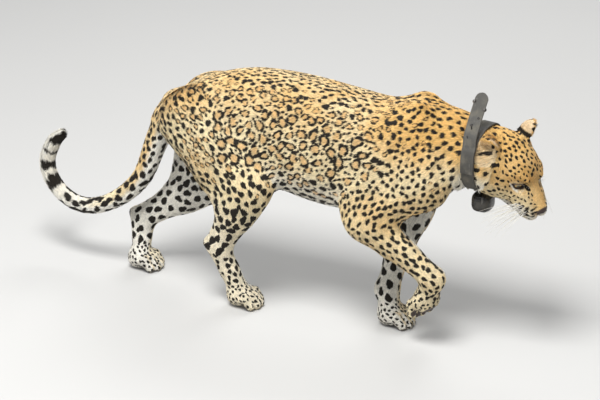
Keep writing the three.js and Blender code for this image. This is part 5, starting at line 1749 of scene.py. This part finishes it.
@dataclass
class Coat:
    """Tufts over the skin, short on the face and feet and longer where the coat breaks the outline."""

    skin: Skin
    material: Material
    seed: int = 7
    most: int = 62000
    thin: float = 1.0
    fine: float = 0.88

    def growth(self, c: Chart) -> tuple[Array, Array, Array, Array]:
        """Length, width, spacing and rise of the tufts.

        Args:
            c: The places.

        Returns:
            Four sizes in millimetres for each place.
        """
        x, _, z = c.places.T
        u, v, w = c.head.T
        trunk, hind, legs = c.on(Part.TRUNK), c.on(Part.HINDLEG), c.on(Part.FORELEG, Part.HINDLEG)
        size = np.tile(vec(12.5, 1.75, 2.25, 3.6), (len(x), 1))
        for share, more in (
            (ease((x - 400) / 80), (2, 0, -0.15, 0.4)),
            (ease((0.16 - c.height) / 0.12) * ease((0.1 - c.normals[:, 2]) / 0.5), (11, 0.1, 0.15, 3)),
            (ease((70 - np.abs(x + 110)) / 50) * ease((430 - z) / 50), (12, 0.1, 0, 4)),
        ):
            size += (share * trunk)[:, None] * vec(*more)
        down = ease((c.run - 0.25) / 0.45)[:, None]
        behind = ease((-c.normals[:, 0] - 0.2) / 0.5) * ease((0.62 - c.run) / 0.2)
        behind *= ease((c.run - 0.05) / 0.1)
        long = mix((11, 1.6, 2.1, 3.2), (7.5, 1.4, 1.85, 2.3), down)
        long += (behind * np.where(hind, 1.0, 0.4))[:, None] * vec(8, 0, 0, 3.2)
        size = np.where(legs[:, None], long, size)
        tail = vec(14, 1.6, 2.0, 3.6) + ease((c.run - 0.5) / 0.5)[:, None] * vec(4, 0, 0, 1.2)
        size = np.where(c.on(Part.TAIL)[:, None], tail, size)
        for leg in self.skin.body.legs:
            size = mix(size, (4.6, 1.15, 1.6, 1.3), (1 - ease((c.from_paw(leg) - 45) / 40))[:, None])
        face = mix((4.4, 0.95, 1.35, 1.3), (8.5, 1.25, 1.65, 2.3), ease((-10 - u) / 70)[:, None])
        for share, more in (
            (ease((-50 - u) / 40) * ease((0 - w) / 35), (6, 0.25, 0.2, 1.6)),
            (ease((-62 - w) / 16) * ease((u + 60) / 40), (2.5, 0, 0, 0.8)),
            (ease((u - 4) / 20) * ease((22 - v) / 8) * ease((w + 50) / 10), (-1.5, -0.1, -0.1, -0.5)),
        ):
            face += share[:, None] * vec(*more)
        inside, behind_ear, _ = self.skin.marks.ear_zones(c)
        face = mix(face, (4.5, 1.0, 1.35, 0.9), behind_ear[:, None])
        face = mix(face, (9, 0.8, 1.5, 3.2), inside[:, None])
        size = np.where(c.on(Part.HEAD)[:, None], face, size)
        return size[:, 0], size[:, 1] * self.fine, size[:, 2] * self.fine, size[:, 3]

    def grows(self, c: Chart, bare: Array) -> Array:
        """Where tufts may grow."""
        slot, ahead, _ = self.skin.body.head.eye_slot(c.head)
        u, v, _ = c.head.T
        lids = c.on(Part.HEAD) & (slot < 2.2) & (ahead > -2) & (np.abs(v - 33) < 26) & (u > -34)
        band = self.skin.body.band.room(c.places) > -2.5
        return (bare < 0.5) & ~lids & ~band & (c.places[:, 2] > 1.5)

    def build(self) -> None:
        """Makes the coat's pieces."""
        skin = self.skin
        _, _, spacing, _ = self.growth(skin.chart)
        density = self.thin / spacing[skin.faces].mean(1) ** 2
        c, picks, share = skin.draw(density, self.seed)
        own, bare = skin.marks.face(c)
        keep = self.grows(c, bare)
        c = c.pick(keep)
        picks, share, own = picks[keep], share[keep], own[keep]
        points, tone = self.tufts(c)
        darks, cores = [], []
        for station in (0, 2, 4):
            dark, core = skin.stencil.lay(points[:, station], c.normals)
            darks.append(np.maximum(dark, own))
            cores.append(core)
        order = (0, 0, 1, 1, 2)
        warm, white = skin.marks.ground(c)
        marks = np.stack([np.stack([darks[i], warm, white, cores[i]], 1) for i in order], 1)
        along = np.tile(vec(0, 0, 0.5, 0.5, 1), (len(picks), 1))
        roots = np.einsum("ij,ijk->ik", share, skin.map[picks])
        for part in Part:
            own_part = np.flatnonzero(c.on(part))
            own_part = own_part[np.argsort(c.places[own_part, 0], kind="stable")]
            for i, chunk in enumerate(np.array_split(own_part, max(1, math.ceil(len(own_part) / self.most)))):
                values = (v[chunk] for v in (points, marks, tone, along, roots))
                self.piece(f"coat_{part.name.lower()}{part.many}_{i + 1}", *values)

    def tufts(self, c: Chart) -> tuple[Array, Array]:
        """Five points for each tuft, two at its root, two at its middle and its tip, and its tone."""
        rng = np.random.default_rng(self.seed + 1)
        n = len(c.places)
        length, width, _, rise = self.growth(c)
        tip = c.places + c.lie * length[:, None] + c.normals * rise[:, None]
        strap = self.skin.body.band.room(tip) > -1
        length = length * rng.uniform(0.72, 1.22, n) * np.where(strap, 0.45, 1)
        rise = rise * rng.uniform(0.75, 1.12, n) * np.where(strap, 0.5, 1)
        width = width * rng.uniform(0.8, 1.2, n)
        side = np.cross(c.normals, c.lie)
        sway = 0.26 * ripple(c.places, 16, 31) + rng.normal(0, 0.13, n)
        way = unit(c.lie + side * sway[:, None])
        side = np.cross(c.normals, way)
        roll = rng.normal(0, 0.35, n)
        flat = side * np.cos(roll)[:, None] + c.normals * np.sin(roll)[:, None]
        up, half = c.normals, (width / 2)[:, None]
        root = c.places - up * 0.5
        middle = c.places + way * (length * 0.5)[:, None] + up * (rise * 0.72)[:, None]
        end = c.places + way * length[:, None] + up * rise[:, None]
        points = np.stack([root - flat * half * 0.8, root + flat * half * 0.8,
                           middle - flat * half, middle + flat * half, end], 1)
        points[:, :, 2] = np.maximum(points[:, :, 2], 0.3)
        tone = np.clip(0.5 + rng.normal(0, 0.2, n) + 0.12 * ripple(c.places, 22, 41), 0, 1)
        return points, tone

    def piece(self, name: str, points: Array, marks: Array, tone: Array, along: Array, roots: Array) -> None:
        """Makes one piece of the coat.

        Args:
            name: The piece's name.
            points: Five points for each tuft.
            marks: Colour values for each point.
            tone: Lightness of each tuft.
            along: Share of the tuft's length at each point.
            roots: Place of each tuft in the skin's map.
        """
        n = len(points)
        start = (np.arange(n) * 5)[:, None]
        pattern = np.array([0, 1, 2, 1, 3, 2, 2, 3, 4])
        faces = (start + pattern).reshape(-1, 3)
        thing = make_mesh(name, self.skin.frame.metres(points.reshape(-1, 3)), [faces])
        add_values(thing, "marks", marks.reshape(-1, 4))
        add_values(thing, "tone", np.repeat(tone, 5))
        add_values(thing, "along", along.ravel())
        layer = thing.data.uv_layers.new(name=BAKE_MAP)
        corner = np.array([(0, 0), (1, 0), (0, 0.5), (1, 0.5), (0.5, 1)]) - 0.5
        flat = (roots[:, None] + corner[None] * 0.003)[:, pattern]
        layer.data.foreach_set("uv", np.clip(flat, 0.001, 0.999).astype(np.float32).ravel())
        dress(thing, self.material)


# Eyes and whiskers


@dataclass(frozen=True)
class EyeFinish:
    """Wet eye: amber iris with fibres, round pupil and dark rim."""

    iris: tuple = (0.38, 0.21, 0.045)
    inner: tuple = (0.24, 0.18, 0.05)
    rim: tuple = (0.03, 0.017, 0.008)
    fibre: tuple = (0.12, 0.06, 0.015)
    ball: tuple = (0.09, 0.05, 0.035)
    pupil: tuple = (0.002, 0.002, 0.002)
    pupil_edge: float = 0.29
    iris_edge: float = 0.66

    def material(self) -> Material:
        """The eye's material."""
        material, r = new_material("leopard_eye")
        angle, spin = r.stored("angle"), r.stored("spin")
        place = r.node("CombineXYZ", {0: spin, 1: angle}).outputs[0]
        fibre = r.node("TexNoise", {"Vector": place, "Scale": 14.0, "Detail": 3.0}).outputs["Fac"]
        tint = r.blend(self.inner, self.iris, r.spread(angle, self.pupil_edge, 0.5))
        tint = r.blend(tint, self.fibre, r.spread(fibre, 0.45, 0.75, 0, 0.6))
        tint = r.blend(tint, self.rim, r.spread(angle, self.iris_edge - 0.1, self.iris_edge))
        tint = r.blend(tint, self.ball, r.spread(angle, self.iris_edge + 0.02, self.iris_edge + 0.2))
        edge = r.spread(angle, self.pupil_edge - 0.03, self.pupil_edge + 0.02)
        colour = r.blend(self.pupil, tint, edge)
        r.finish({"Base Color": colour, "Roughness": r.spread(fibre, 0.2, 0.8, 0.05, 0.1), "Coat Weight": 1.0,
                  "Coat Roughness": 0.03, "Normal": r.bump(fibre, 0.08, 0.0004)})
        return material


@dataclass
class Eyes:
    """Both eyeballs with their bulging corneas."""

    body: Body
    frame: Frame
    finish: EyeFinish = EyeFinish()
    rings: int = 40
    spokes: int = 64
    bulge: float = 0.05

    def build(self) -> None:
        """Makes the eyes."""
        material = self.finish.material()
        head = self.body.head
        for name, side in (("left", 1.0), ("right", -1.0)):
            angle = np.linspace(0, math.pi, self.rings + 1)[1:-1]
            spin = np.arange(self.spokes) * 2 * math.pi / self.spokes
            a, s = (m.ravel() for m in np.meshgrid(angle, spin, indexing="ij"))
            a, s = np.append(a, [0, math.pi]), np.append(s, [0, 0])
            reach = head.eye_radius * (1 + self.bulge * np.exp(-(a / 0.62) ** 4))
            local = np.stack([np.cos(a), np.sin(a) * np.cos(s), np.sin(a) * np.sin(s)], 1) * reach[:, None]
            place = local @ head.eye_frame() + vec(*head.eye_at)
            place[:, 1] *= side
            grid, quads = lattice(self.rings - 1, self.spokes)
            back = fan(grid[-1], grid.size + 1)[:, [0, 2, 1]]
            faces = [quads, fan(grid[0], grid.size), back]
            if side < 0:
                faces = [f[:, ::-1] for f in faces]
            thing = make_mesh(f"eyeball_{name}", self.frame.metres(head.from_head(place)), faces)
            add_values(thing, "angle", a)
            add_values(thing, "spin", np.abs(s - math.pi))
            dress(thing, material, [f"eye_{name}"])
            unwrap(thing)


def tube(line: Array, radii: Array, sides: int = 5) -> tuple[Array, Array]:
    """Points and quads of a round hair along a line."""
    along = unit(np.gradient(line, axis=0))
    first = unit(np.cross(along, vec(0.31, 0.17, 0.93)))
    second = np.cross(along, first)
    turn = (np.arange(sides) * 2 * math.pi / sides)[None, :, None]
    spokes = first[:, None] * np.cos(turn) + second[:, None] * np.sin(turn)
    points = (line[:, None] + radii[:, None, None] * spokes).reshape(-1, 3)
    return points, lattice(len(line), sides, True)[1]


@dataclass
class Whiskers:
    """Long stiff hairs of the upper lip, the brow and the cheek."""

    skin: Skin
    rows: tuple = ((-56, 60, 8), (-50, 64, 8), (-44, 60, 7), (-37, 52, 5))
    brow: tuple = ((-2, 24, 3), (-10, 27, 3))
    pitch: float = 5.2
    seed: int = 17

    def build(self) -> None:
        """Makes the whiskers."""
        rng = np.random.default_rng(self.seed)
        head = self.skin.body.head
        on = self.skin.chart.on(Part.HEAD)
        raw = self.skin.points[on]
        q = head.to_head(raw)
        points, faces, total = [], [], 0
        for side in (1.0, -1.0):
            near = np.flatnonzero((q[:, 1] * side > 12) & (q[:, 0] > -25))
            for rows, way, long, thick in ((self.rows, vec(-0.25, 0.6, -0.85), (70, 115), 0.75),
                                           (self.brow, vec(0.25, 0.5, 0.75), (34, 48), 0.3)):
                for height, start, count in rows:
                    for i in range(count):
                        want = vec(start - i * self.pitch + rng.normal(0, 0.8), height + rng.normal(0, 0.6))
                        root = near[np.argmin(np.abs(q[near][:, [0, 2]] - want).sum(1))]
                        reach = rng.uniform(*long) * (0.65 + 0.35 * min(1.0, (i + 1) / 3))
                        dirs = way + rng.normal(0, 0.13, 3) + vec(-0.09 * i, 0, 0)
                        dirs[1] *= side
                        heading = unit(dirs) @ head.frame()
                        t = np.linspace(0, 1, 10)[:, None]
                        drop = vec(0, 0, -1) * reach * 0.22 * t ** 2
                        line = raw[root] + heading * reach * t + drop
                        ring, quads = tube(line, thick * (1 - 0.75 * t[:, 0]))
                        points.append(ring)
                        faces.append(quads + total)
                        total += len(ring)
        thing = make_mesh("whiskers", self.skin.frame.metres(np.concatenate(points)), faces)
        material, r = new_material("whisker_hair")
        hue = r.blend((0.86, 0.84, 0.78), (0.62, 0.58, 0.5), r.noise(120, 2))
        r.finish({"Base Color": hue, "Roughness": r.spread(r.noise(300, 2), 0.3, 0.7, 0.25, 0.4)})
        dress(thing, material)
        unwrap(thing)


# Collar


@dataclass(frozen=True)
class Wear:
    """Scuffs, dirt and rubbed edges, for everything on the collar; on the case's sharp edges the pale scuffs
    are partly painted glints.
    """

    def group(self) -> Tree:
        """Group with masks for scuffs and dust and a height."""
        inputs = {"Scale": 60.0, "Edge": 0.0, "Amount": 0.5}
        tree, r, start = make_group("wear", inputs, {"Scuff": "Float", "Dust": "Float", "Height": "Float"})
        get = start.outputs
        place = r.node("TexCoord").outputs["Object"]
        fine = r.node("TexNoise", {"Vector": place, "Scale": get["Scale"], "Detail": 6.0, "Roughness": 0.7})
        broad = r.node("TexNoise", {"Vector": place, "Scale": 34.0, "Detail": 3.0})
        squeeze = {"Vector": place, "Scale": (1.0, 1.0, 0.12), "Rotation": (0.6, 0.2, 0.4)}
        stretched = r.node("Mapping", squeeze)
        scratch = r.node("TexNoise", {"Vector": stretched.outputs[0], "Scale": get["Scale"], "Detail": 8.0})
        rub = r.sum("ADD", fine.outputs["Fac"], r.sum("MULTIPLY", get["Edge"], 0.28))
        scuff = r.sum("MULTIPLY", r.spread(rub, 0.58, 0.78), get["Amount"])
        line = r.sum("MULTIPLY", r.spread(scratch.outputs["Fac"], 0.62, 0.68), get["Amount"])
        dust = r.spread(broad.outputs["Fac"], 0.42, 0.7)
        height = r.sum("SUBTRACT", fine.outputs["Fac"], r.sum("MULTIPLY", line, 0.5))
        close_group(r, {"Scuff": r.sum("MAXIMUM", scuff, line), "Dust": dust, "Height": height})
        return tree


@dataclass(frozen=True)
class StrapFinish:
    """Grey woven belting with a brown lining, and cuts painted near black as the shade inside them."""

    face: tuple = (0.070, 0.067, 0.060)
    dusty: tuple = (0.135, 0.125, 0.102)
    lining: tuple = (0.17, 0.115, 0.08)
    cut: tuple = (0.008, 0.007, 0.006)

    def material(self, wear: Tree) -> Material:
        """The strap's material."""
        material, r = new_material("collar_belting")
        edge, lining, cut = r.stored("edge"), r.stored("lining"), r.stored("cut")
        run, cross = r.stored("run"), r.stored("cross")
        worn = place_group(r, wear, {"Scale": 240.0, "Edge": edge, "Amount": 0.55})
        warp = r.sum("SINE", r.sum("MULTIPLY", run, 3.9))
        weft = r.sum("SINE", r.sum("MULTIPLY", cross, 4.6))
        weave = r.sum("MULTIPLY", warp, weft)
        colour = r.blend(self.face, self.dusty, worn.outputs["Dust"])
        colour = r.blend(colour, (0.24, 0.23, 0.20), r.sum("MULTIPLY", worn.outputs["Scuff"], 0.45))
        colour = r.blend(colour, r.spread(weave, -1, 1, 0.86, 1.08), 1.0, "MULTIPLY")
        colour = r.blend(colour, (0.06, 0.054, 0.046), r.sum("MULTIPLY", edge, 0.45))
        brown = r.blend(self.lining, (0.15, 0.10, 0.07), r.noise(70, 4))
        colour = r.blend(colour, brown, lining)
        # painted shade: the cuts are near black, the shade inside them
        colour = r.blend(colour, self.cut, cut)
        height = r.sum("ADD", r.sum("MULTIPLY", weave, 0.35), worn.outputs["Height"])
        height = r.sum("SUBTRACT", height, r.sum("MULTIPLY", cut, 2.0))
        r.finish({"Base Color": colour, "Roughness": r.spread(worn.outputs["Dust"], 0, 1, 0.62, 0.85),
                  "Specular IOR Level": 0.3, "Normal": r.bump(height, 0.35, 0.0006)})
        return material


@dataclass(frozen=True)
class CaseFinish:
    """Black resin case, scratched and dusty, with pale scuffs that gather on its sharp edges as wear and
    painted glints.
    """

    def material(self, wear: Tree) -> Material:
        """The case's material."""
        material, r = new_material("collar_case")
        worn = place_group(r, wear, {"Scale": 150.0, "Edge": r.stored("edge"), "Amount": 0.6})
        colour = r.blend((0.012, 0.011, 0.010), (0.05, 0.045, 0.036), worn.outputs["Dust"])
        # pale scuffs: wear, and painted glints where they gather on the sharp edges
        colour = r.blend(colour, (0.22, 0.21, 0.19), r.sum("MULTIPLY", worn.outputs["Scuff"], 0.6))
        r.finish({"Base Color": colour, "Roughness": r.spread(worn.outputs["Scuff"], 0, 1, 0.24, 0.6),
                  "Normal": r.bump(worn.outputs["Height"], 0.3, 0.0007)})
        return material


@dataclass(frozen=True)
class FittingFinish:
    """Bolts and knobs."""

    name: str
    colour: tuple
    worn: tuple
    metallic: float

    def material(self, wear: Tree) -> Material:
        """The fitting's material."""
        material, r = new_material(self.name)
        wear_node = place_group(r, wear, {"Scale": 700.0, "Edge": r.stored("edge"), "Amount": 0.8})
        colour = r.blend(self.colour, self.worn, wear_node.outputs["Scuff"])
        r.finish({"Base Color": colour, "Metallic": self.metallic,
                  "Roughness": r.spread(wear_node.outputs["Dust"], 0, 1, 0.28, 0.5),
                  "Normal": r.bump(wear_node.outputs["Height"], 0.25, 0.0003)})
        return material


@dataclass
class Collar:
    """Strap round the neck, its free end, the case under the throat and the fittings."""

    body: Body
    frame: Frame
    steps: int = 300
    rounding: float = 1.6
    case_at: tuple = (536, -4, 420)
    case_half: tuple = (27, 31, 27)
    case_power: float = 3.2
    case_top: float = 449.6
    case_rings: int = 56
    case_spokes: int = 96
    end_angles: tuple = (-112, -101, -90, -79, -68)
    end_stand: tuple = ((526, -80, 620), (526, -61, 645), (526, -39, 670), (529, -16, 705), (531, -8, 717))
    gap: float = 0.3
    bolt_radius: float = 3.6
    bolt_outline: tuple = ((0.3, -0.4), (0.98, -0.4), (1, -0.25), (0.92, 0.15), (0.7, 0.36), (0.48, 0.4),
                           (0.42, 0.36), (0.4, 0.05), (0.1, 0.02))
    pale_bolts: float = -157
    knob_radius: float = 5.4
    cuts: tuple = (
        ((518, -60, 654), (522, -65, 647), 1.9), ((528, -60, 653), (522, -65, 647), 1.9),
        ((522, -65, 647), (525, -70, 639), 2.2), ((519, -83, 622), (520, -84, 619), 1.8),
    )

    def profile(self, half: Array, thick: float) -> tuple[Array, Array, Array]:
        """Rounded flat sections.

        Args:
            half: Half width of each section.
            thick: Half thickness.

        Returns:
            Offsets across and out for each section, and share across for each point.
        """
        r = self.rounding
        share = np.linspace(-1, 1, 25)
        arc = np.linspace(0, math.pi / 2, 4)[1:-1]
        across, out, held = [], [], []
        for sign in (1, -1):
            flat = sign * share[:, None] * (half - r)[None]
            across += list(flat)
            out += [np.full_like(half, -sign * thick)] * len(share)
            held += list(sign * share)
            for turn in np.concatenate([arc, math.pi / 2 + arc]):
                across.append(sign * (half - r + math.sin(turn) * r))
                rise = math.copysign(thick - r + abs(math.cos(turn)) * r, math.cos(turn))
                out.append(np.full_like(half, -sign * rise))
                held.append(sign)
        return np.array(across).T, np.array(out).T, np.array(held, float)

    def band(self, name: str, places: Array, across: Array, out: Array, half: Array, closed: bool) -> Thing:
        """A flat band.

        Args:
            name: The piece's name.
            places: Middle line of the band.
            across: Directions across it.
            out: Directions out of its face.
            half: Half width at each place.
            closed: Whether it runs round and waves a little, or has two ends.

        Returns:
            The piece, not dressed yet.
        """
        a, o, held = self.profile(half, self.body.band.thick / 2)
        waver = 0.5 * np.sin(np.arange(len(places)) * 2 * math.pi * 9 / len(places)) * closed
        flat = places[:, None] + across[:, None] * (a + waver[:, None])[..., None]
        flat = (flat + out[:, None] * o[..., None]).reshape(-1, 3)
        n, m = a.shape
        grid, quads = lattice(n + closed, m)
        faces = [quads % len(flat)]
        if not closed:
            faces += [grid[0][None], grid[-1][None, ::-1]]
        thing = make_mesh(name, self.frame.metres(flat), faces)
        lengths = np.concatenate([[0], np.cumsum(np.linalg.norm(np.diff(places, axis=0), axis=1))])
        add_values(thing, "run", np.repeat(lengths, m))
        add_values(thing, "cross", a.ravel())
        add_values(thing, "edge", np.tile(ease((np.abs(held) - 0.86) / 0.14), n))
        lining = (o < 0) & (np.abs(held) < 0.999)[None]
        add_values(thing, "lining", lining.ravel() * (1.0 if closed else 0.25))
        # the cuts, painted near black as their shade and dented by the bump
        cut = np.min([bar(flat, start, stop, radius, radius) for start, stop, radius in self.cuts], axis=0)
        add_values(thing, "cut", (1 - ease((cut + 0.5) / 1.2)) * (o > 0).ravel())
        return thing

    def strap(self) -> Thing:
        """The ring round the neck."""
        turns = np.arange(self.steps) * 2 * math.pi / self.steps
        frames = [self.body.band.frame(a) for a in turns]
        places, across, out = (np.array(v) for v in zip(*frames))
        half = np.full(self.steps, self.body.band.width / 2)
        return self.band("strap", places, across, out, half, True)

    def free_end(self) -> Thing:
        """The loose end that stands up behind the ears."""
        band = self.body.band
        lift = band.thick + 3.5 * self.gap
        stations = []
        for angle in self.end_angles:
            place, _, out = band.frame(math.radians(angle))
            stations.append(place + out * lift)
        line = smooth_line(stations + [vec(*p) for p in self.end_stand], 12)
        past = np.concatenate([[0], np.cumsum(np.linalg.norm(np.diff(line, axis=0), axis=1))])
        full = band.width / 2
        left = np.concatenate([np.arange(past[-1], full, -2.0), full * (1 - np.linspace(0, 1, 16))])
        places = np.stack([np.interp(past[-1] - left, past, line[:, i]) for i in range(3)], 1)
        along = unit(np.gradient(places, axis=0))
        across = band.frame(0)[1]
        across = unit(across - along * (along @ across)[:, None])
        out = unit(np.cross(across, along))
        half = np.where(left < full, np.sqrt(np.maximum(full ** 2 - (full - left) ** 2, 0)), full)
        return self.band("strap_end", places, across, out, np.maximum(half, 4), False)

    def case(self) -> Thing:
        """Rounded case with a seam round it."""
        lat = np.linspace(-math.pi / 2, math.pi / 2, self.case_rings + 1)[1:-1]
        lon = np.arange(self.case_spokes) * 2 * math.pi / self.case_spokes
        a, b = (v.ravel() for v in np.meshgrid(lat, lon, indexing="ij"))
        a, b = np.append(a, [-math.pi / 2, math.pi / 2]), np.append(b, [0, 0])
        v = np.stack([np.cos(a) * np.cos(b), np.cos(a) * np.sin(b), np.sin(a)], 1)
        p = self.case_power
        v /= ((np.abs(v) ** p).sum(1) ** (1 / p))[:, None]
        # sharp edges, where the pale scuffs gather as wear and painted glints
        edge_scuff_and_glint = ease((np.linalg.norm(v, axis=1) - 1.18) / 0.25)
        seam = np.exp(-((v[:, 2] - 0.34) / 0.03) ** 2)
        points = v * (1 - 0.02 * seam)[:, None] * vec(*self.case_half) + vec(*self.case_at)
        high = points[:, 2] >= self.case_top
        points[high, 2] = self.case_top + (points[high, 2] - self.case_top) * 0.1
        grid, quads = lattice(self.case_rings - 1, self.case_spokes, True)
        bottom = fan(grid[0], grid.size)[:, [0, 2, 1]]
        thing = make_mesh("case", self.frame.metres(points), [quads, bottom, fan(grid[-1], grid.size + 1)])
        add_values(thing, "edge", edge_scuff_and_glint)
        return thing

    @staticmethod
    def turned(name: str, axis: Array, outline: Sequence[Vec], sides: int) -> Thing:
        """A turned fitting at the place of its solid.

        Args:
            name: The piece's name.
            axis: Direction of its axis.
            outline: Radius and height of its outline, in metres.
            sides: Points round the axis.

        Returns:
            The piece, not dressed yet.
        """
        axis = unit(axis)
        first = unit(np.cross(axis, vec(0.3, 0.9, 0.2)))
        second = np.cross(axis, first)
        turn = (np.arange(sides) * 2 * math.pi / sides)[:, None]
        o = np.array(outline, float)
        spokes = (first * np.cos(turn) + second * np.sin(turn))[None]
        points = middle("collar_" + name) + axis * o[:, 1][:, None, None] + o[:, 0][:, None, None] * spokes
        grid, quads = lattice(len(o), sides, True)
        thing = make_mesh(name, points.reshape(-1, 3), [quads, grid[0][None, ::-1], grid[-1][None]])
        add_values(thing, "edge", np.repeat(ease((o[:, 0] / o[:, 0].max() - 0.6) / 0.4), sides))
        return thing

    def fittings(self) -> list[Thing]:
        """Bolt heads and knobs."""
        r, k = self.bolt_radius * MM, self.knob_radius * MM
        head = [(radius * r, height * r) for radius, height in self.bolt_outline]
        knob = [(max(k * math.sin(t), k * 0.06), -k * math.cos(t)) for t in np.linspace(0.1, 3.04, 22)]
        side = self.body.band.frame(math.radians(self.pale_bolts))[2]
        outs = {"bolt_1": vec(0.1, -0.62, 0.78), "bolt_2": vec(0.1, -0.7, 0.7),
                "bolt_3": side, "bolt_4": side}
        made = [self.turned(name, out, head, 36) for name, out in outs.items()]
        return made + [self.turned(name, vec(1, 0, 0), knob, 40) for name in ("knob_back", "knob_front")]

    def build(self) -> None:
        """Makes and dresses the collar."""
        wear = Wear().group()
        belting = StrapFinish().material(wear)
        dress(self.strap(), belting, ["collar_strap"])
        dress(self.free_end(), belting, ["collar_end"])
        dress(self.case(), CaseFinish().material(wear), ["collar_housing"])
        dark = FittingFinish("dark_fitting", (0.014, 0.012, 0.010), (0.12, 0.11, 0.1), 0.0).material(wear)
        pale = FittingFinish("pale_bolt", (0.55, 0.53, 0.48), (0.25, 0.22, 0.18), 0.85).material(wear)
        for thing in self.fittings():
            bright = thing.name in ("bolt_3", "bolt_4")
            dress(thing, pale if bright else dark, ["collar_" + thing.name])


# Studio


@dataclass(frozen=True)
class Studio:
    """Camera, floor and soft lights."""

    azimuth: float = 27
    elevation: float = 22
    distance: float = 6.5
    target: tuple = (0, 0, 350)
    target_pixel: tuple = (300, 190)
    size: tuple = (600, 400)
    pixels_per_metre: float = 370
    sensor: float = 36
    floor: tuple = (0.56, 0.555, 0.54)
    lights: tuple = (
        ("key", (0.4, -2.2, 4.6), 1.8, 290), ("fill", (-3.8, -2.8, 2.2), 3.5, 55),
        ("rim", (-0.6, 3.4, 3.8), 2.5, 80),
    )

    def back(self) -> Array:
        """Direction from the target to the camera."""
        a, e = math.radians(self.azimuth), math.radians(self.elevation)
        return vec(math.sin(a) * math.cos(e), -math.cos(a) * math.cos(e), math.sin(e))

    def build(self, frame: Frame) -> None:
        """Makes the camera, the floor and the lights."""
        target = frame.metres(vec(*self.target))
        camera = bpy.data.objects.new("camera", bpy.data.cameras.new("camera"))
        bpy.context.scene.collection.objects.link(camera)
        camera.location = target + self.back() * self.distance
        camera.rotation_euler = (math.radians(90 - self.elevation), 0, math.radians(self.azimuth))
        camera.data.sensor_width = self.sensor
        camera.data.lens = self.pixels_per_metre * self.distance / self.size[0] * self.sensor
        camera.data.shift_y = (self.target_pixel[1] - self.size[1] / 2) / self.size[0]
        camera.data.clip_end = 100
        bpy.context.scene.camera = camera
        bpy.context.scene.view_settings.view_transform = "Standard"
        self.lay_floor()
        for name, place, wide, power in self.lights:
            self.light(name, vec(*place), wide, power)
        world = bpy.data.worlds.new("studio")
        bpy.context.scene.world = world
        world.use_nodes = True
        background = world.node_tree.nodes["Background"].inputs
        background[0].default_value, background[1].default_value = (0.95, 0.97, 1.0, 1), 0.42

    def lay_floor(self) -> None:
        """A wide pale floor with faint unevenness in its finish."""
        ticks = np.linspace(-16, 16, 17)
        x, y = (v.ravel() for v in np.meshgrid(ticks, ticks, indexing="ij"))
        grid = np.arange(len(x)).reshape(len(ticks), -1)
        quads = np.stack([grid[:-1, :-1], grid[1:, :-1], grid[1:, 1:], grid[:-1, 1:]], -1).reshape(-1, 4)
        thing = make_mesh("floor", np.stack([x, y, np.zeros(len(x))], 1), [quads])
        material, r = new_material("studio_floor")
        colour = r.blend(self.floor, tuple(c * 0.97 for c in self.floor), r.noise(0.8, 3))
        r.finish({"Base Color": colour, "Roughness": r.spread(r.noise(5, 2), 0, 1, 0.75, 0.9)})
        thing.data.materials.append(material)
        thing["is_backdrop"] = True

    @staticmethod
    def light(name: str, place: Array, wide: float, power: float) -> None:
        """A square soft light that faces the animal."""
        lamp = bpy.data.objects.new(name, bpy.data.lights.new(name, "AREA"))
        lamp.data.size = wide
        lamp.data.energy = power
        lamp.location = place
        x, y, z = vec(0, 0, 0.35) - place
        lamp.rotation_euler = (math.atan2(math.hypot(x, y), -z), 0, math.atan2(y, x) - math.pi / 2)
        bpy.context.scene.collection.objects.link(lamp)


def main() -> None:
    """Builds the leopard in its collar."""
    logging.basicConfig(level=logging.INFO, format="%(message)s")
    body = Body()
    frame = Frame.load(body)
    boxes = [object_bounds()]
    Studio().build(frame)
    tones = CoatTones()
    coat_group = tones.group()
    skin = Skin(body, frame, Marks(body))
    skin.build(SkinFinish(tones).material(coat_group))
    Eyes(body, frame).build()
    Whiskers(skin).build()
    Collar(body, frame).build()
    thin = 1.0
    Coat(skin, FurFinish().material(coat_group), thin=thin).build()
    boxes.append(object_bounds())
    [[list(map(float, corner)) for corner in box] for box in boxes]


if __name__ == "__main__":
    main()
